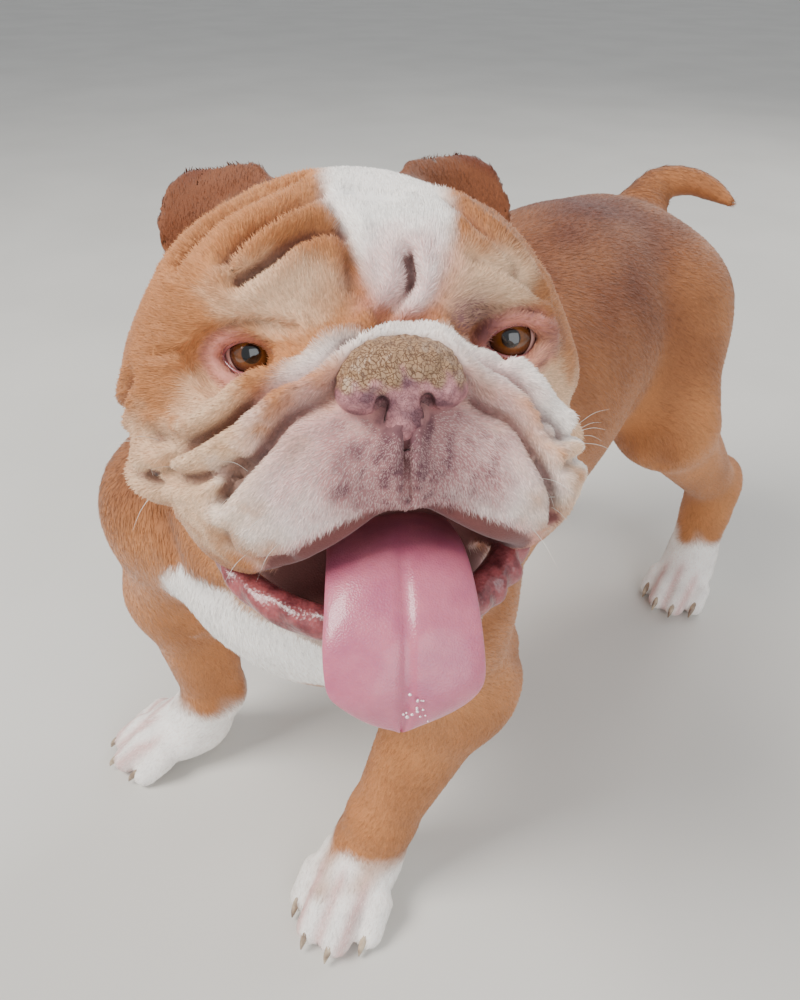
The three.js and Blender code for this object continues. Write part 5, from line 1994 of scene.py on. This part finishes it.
@dataclass
class Whiskers:
    """Thin pale whiskers on the cheeks and flews."""

    number: int = 20
    radius: float = 0.12

    def build(self, facts: SkinFacts) -> bpy.types.Object:
        """Makes all the whiskers.

        Args:
            facts: the facts of the skin, on which they grow.

        Returns:
            One joined object.
        """
        draw = np.random.default_rng(12)
        q, n = facts.local, facts.outward_local()
        spots = [((s * 52, -40, -52), 16, 20) for s in (-1, 1)]
        spots += [((s * 92, 2, -42), 12, 16) for s in (-1, 1)]
        shapes = []
        for i in range(self.number):
            centre, spread, length = spots[i % len(spots)]
            wanted = np.asarray(centre, float) + draw.normal(size=3) * spread / 2
            at = int(((q - wanted) ** 2).sum(1).argmin())
            size = length * draw.uniform(0.6, 1.15)
            way = n[at] * 0.8 + draw.normal(size=3) * 0.16 + (np.sign(q[at, 0]) * 0.35, 0.15, 0)
            sag = np.array((0, 0, -0.22 * size))
            line = [q[at] - n[at], q[at] + way * size * 0.45, q[at] + way * size * 0.9 + sag]
            horn = Horn(line, (0.6, 0.6, 0.5), [self.radius, self.radius * 0.8, self.radius * 0.2],
                        [self.radius, self.radius * 0.8, self.radius * 0.2], 10, 5)
            shapes.append(horn.shape(HEAD))
        return joined("whiskers", shapes)


@dataclass
class Stage:
    """The floor, the lights and the camera."""

    camera_place: Point = (272, -370, 520)
    look_down: float = 36.5
    look_left: float = 42
    focal_pixels: float = 770
    picture_width: float = 800
    floor_sides: int = 96
    floor_radii: tuple[float, ...] = (0.5, 4, 80)
    floor_gap: float = 0.0002

    def floor(self) -> bpy.types.Object:
        """A wide pale floor, as a disc just under the soles."""
        n, radii = self.floor_sides, self.floor_radii
        turn = np.linspace(0, 2 * math.pi, n + 1)[:-1]
        ring = np.stack([np.cos(turn), np.sin(turn), 0 * turn], 1)
        points = np.vstack([ring * r for r in radii] + [np.zeros((1, 3))]) - (0, 0, self.floor_gap)
        faces = [(len(radii) * n, j, (j + 1) % n) for j in range(n)]
        faces += [face[::-1] for face in ring_faces(len(radii) - 1, n)]
        floor = mesh_object("floor", points, faces)
        finish = PlainFinish("floor_pale", colour(206, 204, 198), colour(212, 210, 204), 3, 0.85, bump=0.02)
        floor.data.materials.append(finish.material())
        return floor

    def camera(self) -> bpy.types.Object:
        """The camera, where the photograph was taken from."""
        data = bpy.data.cameras.new("camera")
        data.sensor_fit = "HORIZONTAL"
        data.sensor_width = 36
        data.lens = self.focal_pixels / self.picture_width * data.sensor_width
        data.clip_start = 0.01
        camera = bpy.data.objects.new("camera", data)
        bpy.context.scene.collection.objects.link(camera)
        down, left = math.radians(self.look_down), math.radians(self.look_left)
        way = Vector((-math.cos(down) * math.sin(left), math.cos(down) * math.cos(left), -math.sin(down)))
        camera.rotation_euler = way.to_track_quat("-Z", "Y").to_euler()
        camera.location = Vector(in_row(np.array(self.camera_place, float)))
        bpy.context.scene.camera = camera
        return camera

    def light(self, name: str, place: Point, target: Point, size: float, power: float, warmth: tuple) -> None:
        """Adds one soft light.

        Args:
            name: its name.
            place: where it hangs, in metres.
            target: what it points at, in metres.
            size: width of its square, in metres.
            power: its power in watts.
            warmth: its colour.
        """
        data = bpy.data.lights.new(name, "AREA")
        data.size = size
        data.energy = power
        data.color = warmth
        lamp = bpy.data.objects.new(name, data)
        bpy.context.scene.collection.objects.link(lamp)
        lamp.location = place
        lamp.rotation_euler = (Vector(target) - Vector(place)).to_track_quat("-Z", "Y").to_euler()

    def lights(self) -> None:
        """A soft key light from above, a fill from the front, a rim from behind and a pale world."""
        middle = (0, -0.05, 0.25)
        self.light("key", (-0.7, -1.3, 2.0), middle, 1.0, 62, (1.0, 0.97, 0.93))
        self.light("fill", (1.8, -1.0, 1.0), middle, 1.8, 24, (0.94, 0.97, 1.0))
        self.light("rim", (0.2, 1.9, 1.7), middle, 1.4, 26, (1.0, 0.98, 0.95))
        world = bpy.data.worlds.new("studio")
        world.use_nodes = True
        make = NodeMaker(world.node_tree)
        air = make.add("ShaderNodeBackground", {"Color": (0.92, 0.95, 1.0, 1.0), "Strength": 0.55})
        make.add("ShaderNodeOutputWorld", {"Surface": air.outputs[0]})
        bpy.context.scene.world = world


FLESH = ("head", "ear_left", "ear_right", "neck", "torso", "tail", "foreleg_left", "foreleg_right",
         "thigh_left", "thigh_right", "hindleg_left", "hindleg_right", "forepaw_left", "forepaw_right",
         "hindpaw_left", "hindpaw_right")


def dress(piece: bpy.types.Object, finish: object = None, stands_for: Sequence[str] = ()) -> None:
    """Gives a piece its finish and its body, and hides the solids that it stands for.

    Args:
        piece: the piece.
        finish: the finish, unless the piece has one already.
        stands_for: names of the solids that it replaces.
    """
    if finish is not None:
        piece.data.materials.append(finish.material())
    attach(piece, "root")
    if stands_for:
        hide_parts(*stands_for)
    log.info("made %s", piece.name)


def main() -> None:
    """Builds the pieces in order."""
    logging.basicConfig(level=logging.INFO, format="%(asctime)s %(message)s")
    stage = Stage()
    stage.camera()
    stage.lights()
    stage.floor()

    skin_maker = Skin()
    skin = skin_maker.build()
    skin_maker.unwrap(skin)
    coat = Coat().build(skin, skin_maker.facts, skin_maker.hairy)
    for name in ("lie", "hair_length"):
        skin.data.attributes.remove(skin.data.attributes[name])
    dress(skin, None, FLESH)
    for piece in coat:
        dress(piece)

    eyes = Eyes()
    camera = HEAD.inside(np.array(stage.camera_place, float)[None])[0]
    eye_finish = EyeFinish()
    rim_finish = WetFinish("lid_rim", colour(176, 104, 104), colour(128, 72, 76), coat=0.8, grain=0.1)
    for side, name in ((1, "left"), (-1, "right")):
        gaze = camera - np.array(EYE_PLACE) * (side, 1, 1)
        gaze = gaze / np.linalg.norm(gaze) + (side * 0.06, -0.2, 0)
        dress(eyes.ball("eyeball_" + name, side, gaze), eye_finish, ("eye_" + name,))
        dress(eyes.rim("lid_rim_" + name, side), rim_finish, ("lids_" + name,))

    dress(Nose().build(), NoseFinish(), ("nose",))
    mouth = Mouth()
    tongue_finish = WetFinish(
        "tongue_pink", colour(206, 118, 136), colour(184, 96, 122), 60, 1300, 0.3, 0.34, 0.45)
    dress(mouth.tongue(), tongue_finish, ("tongue",))
    lip_finish = WetFinish("lip_mauve", colour(164, 88, 90), colour(98, 48, 52), 150, 700, 0.5, 0.3, 0.5)
    dress(mouth.lower_lip(), lip_finish, ("lower_lip",))
    bubble_finish = PlainFinish("bubble", colour(232, 200, 206), colour(240, 220, 222), 400, 0.08, 1.0)
    dress(mouth.bubbles(), bubble_finish)
    claw_finish = PlainFinish("claw_horn", colour(122, 100, 84), colour(196, 176, 150), 140, 0.35, 0.3)
    claw_nodes = [f"claw_{row}_{side}_{i}" for row in ("fore", "hind") for side in ("left", "right")
                  for i in range(1, 5)]
    dress(Claws().build(), claw_finish, claw_nodes)
    whisker_finish = PlainFinish("whisker_pale", colour(236, 230, 222), colour(222, 212, 200), 300, 0.4)
    dress(Whiskers().build(skin_maker.facts), whisker_finish)

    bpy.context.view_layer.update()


if __name__ == "__main__":
    main()
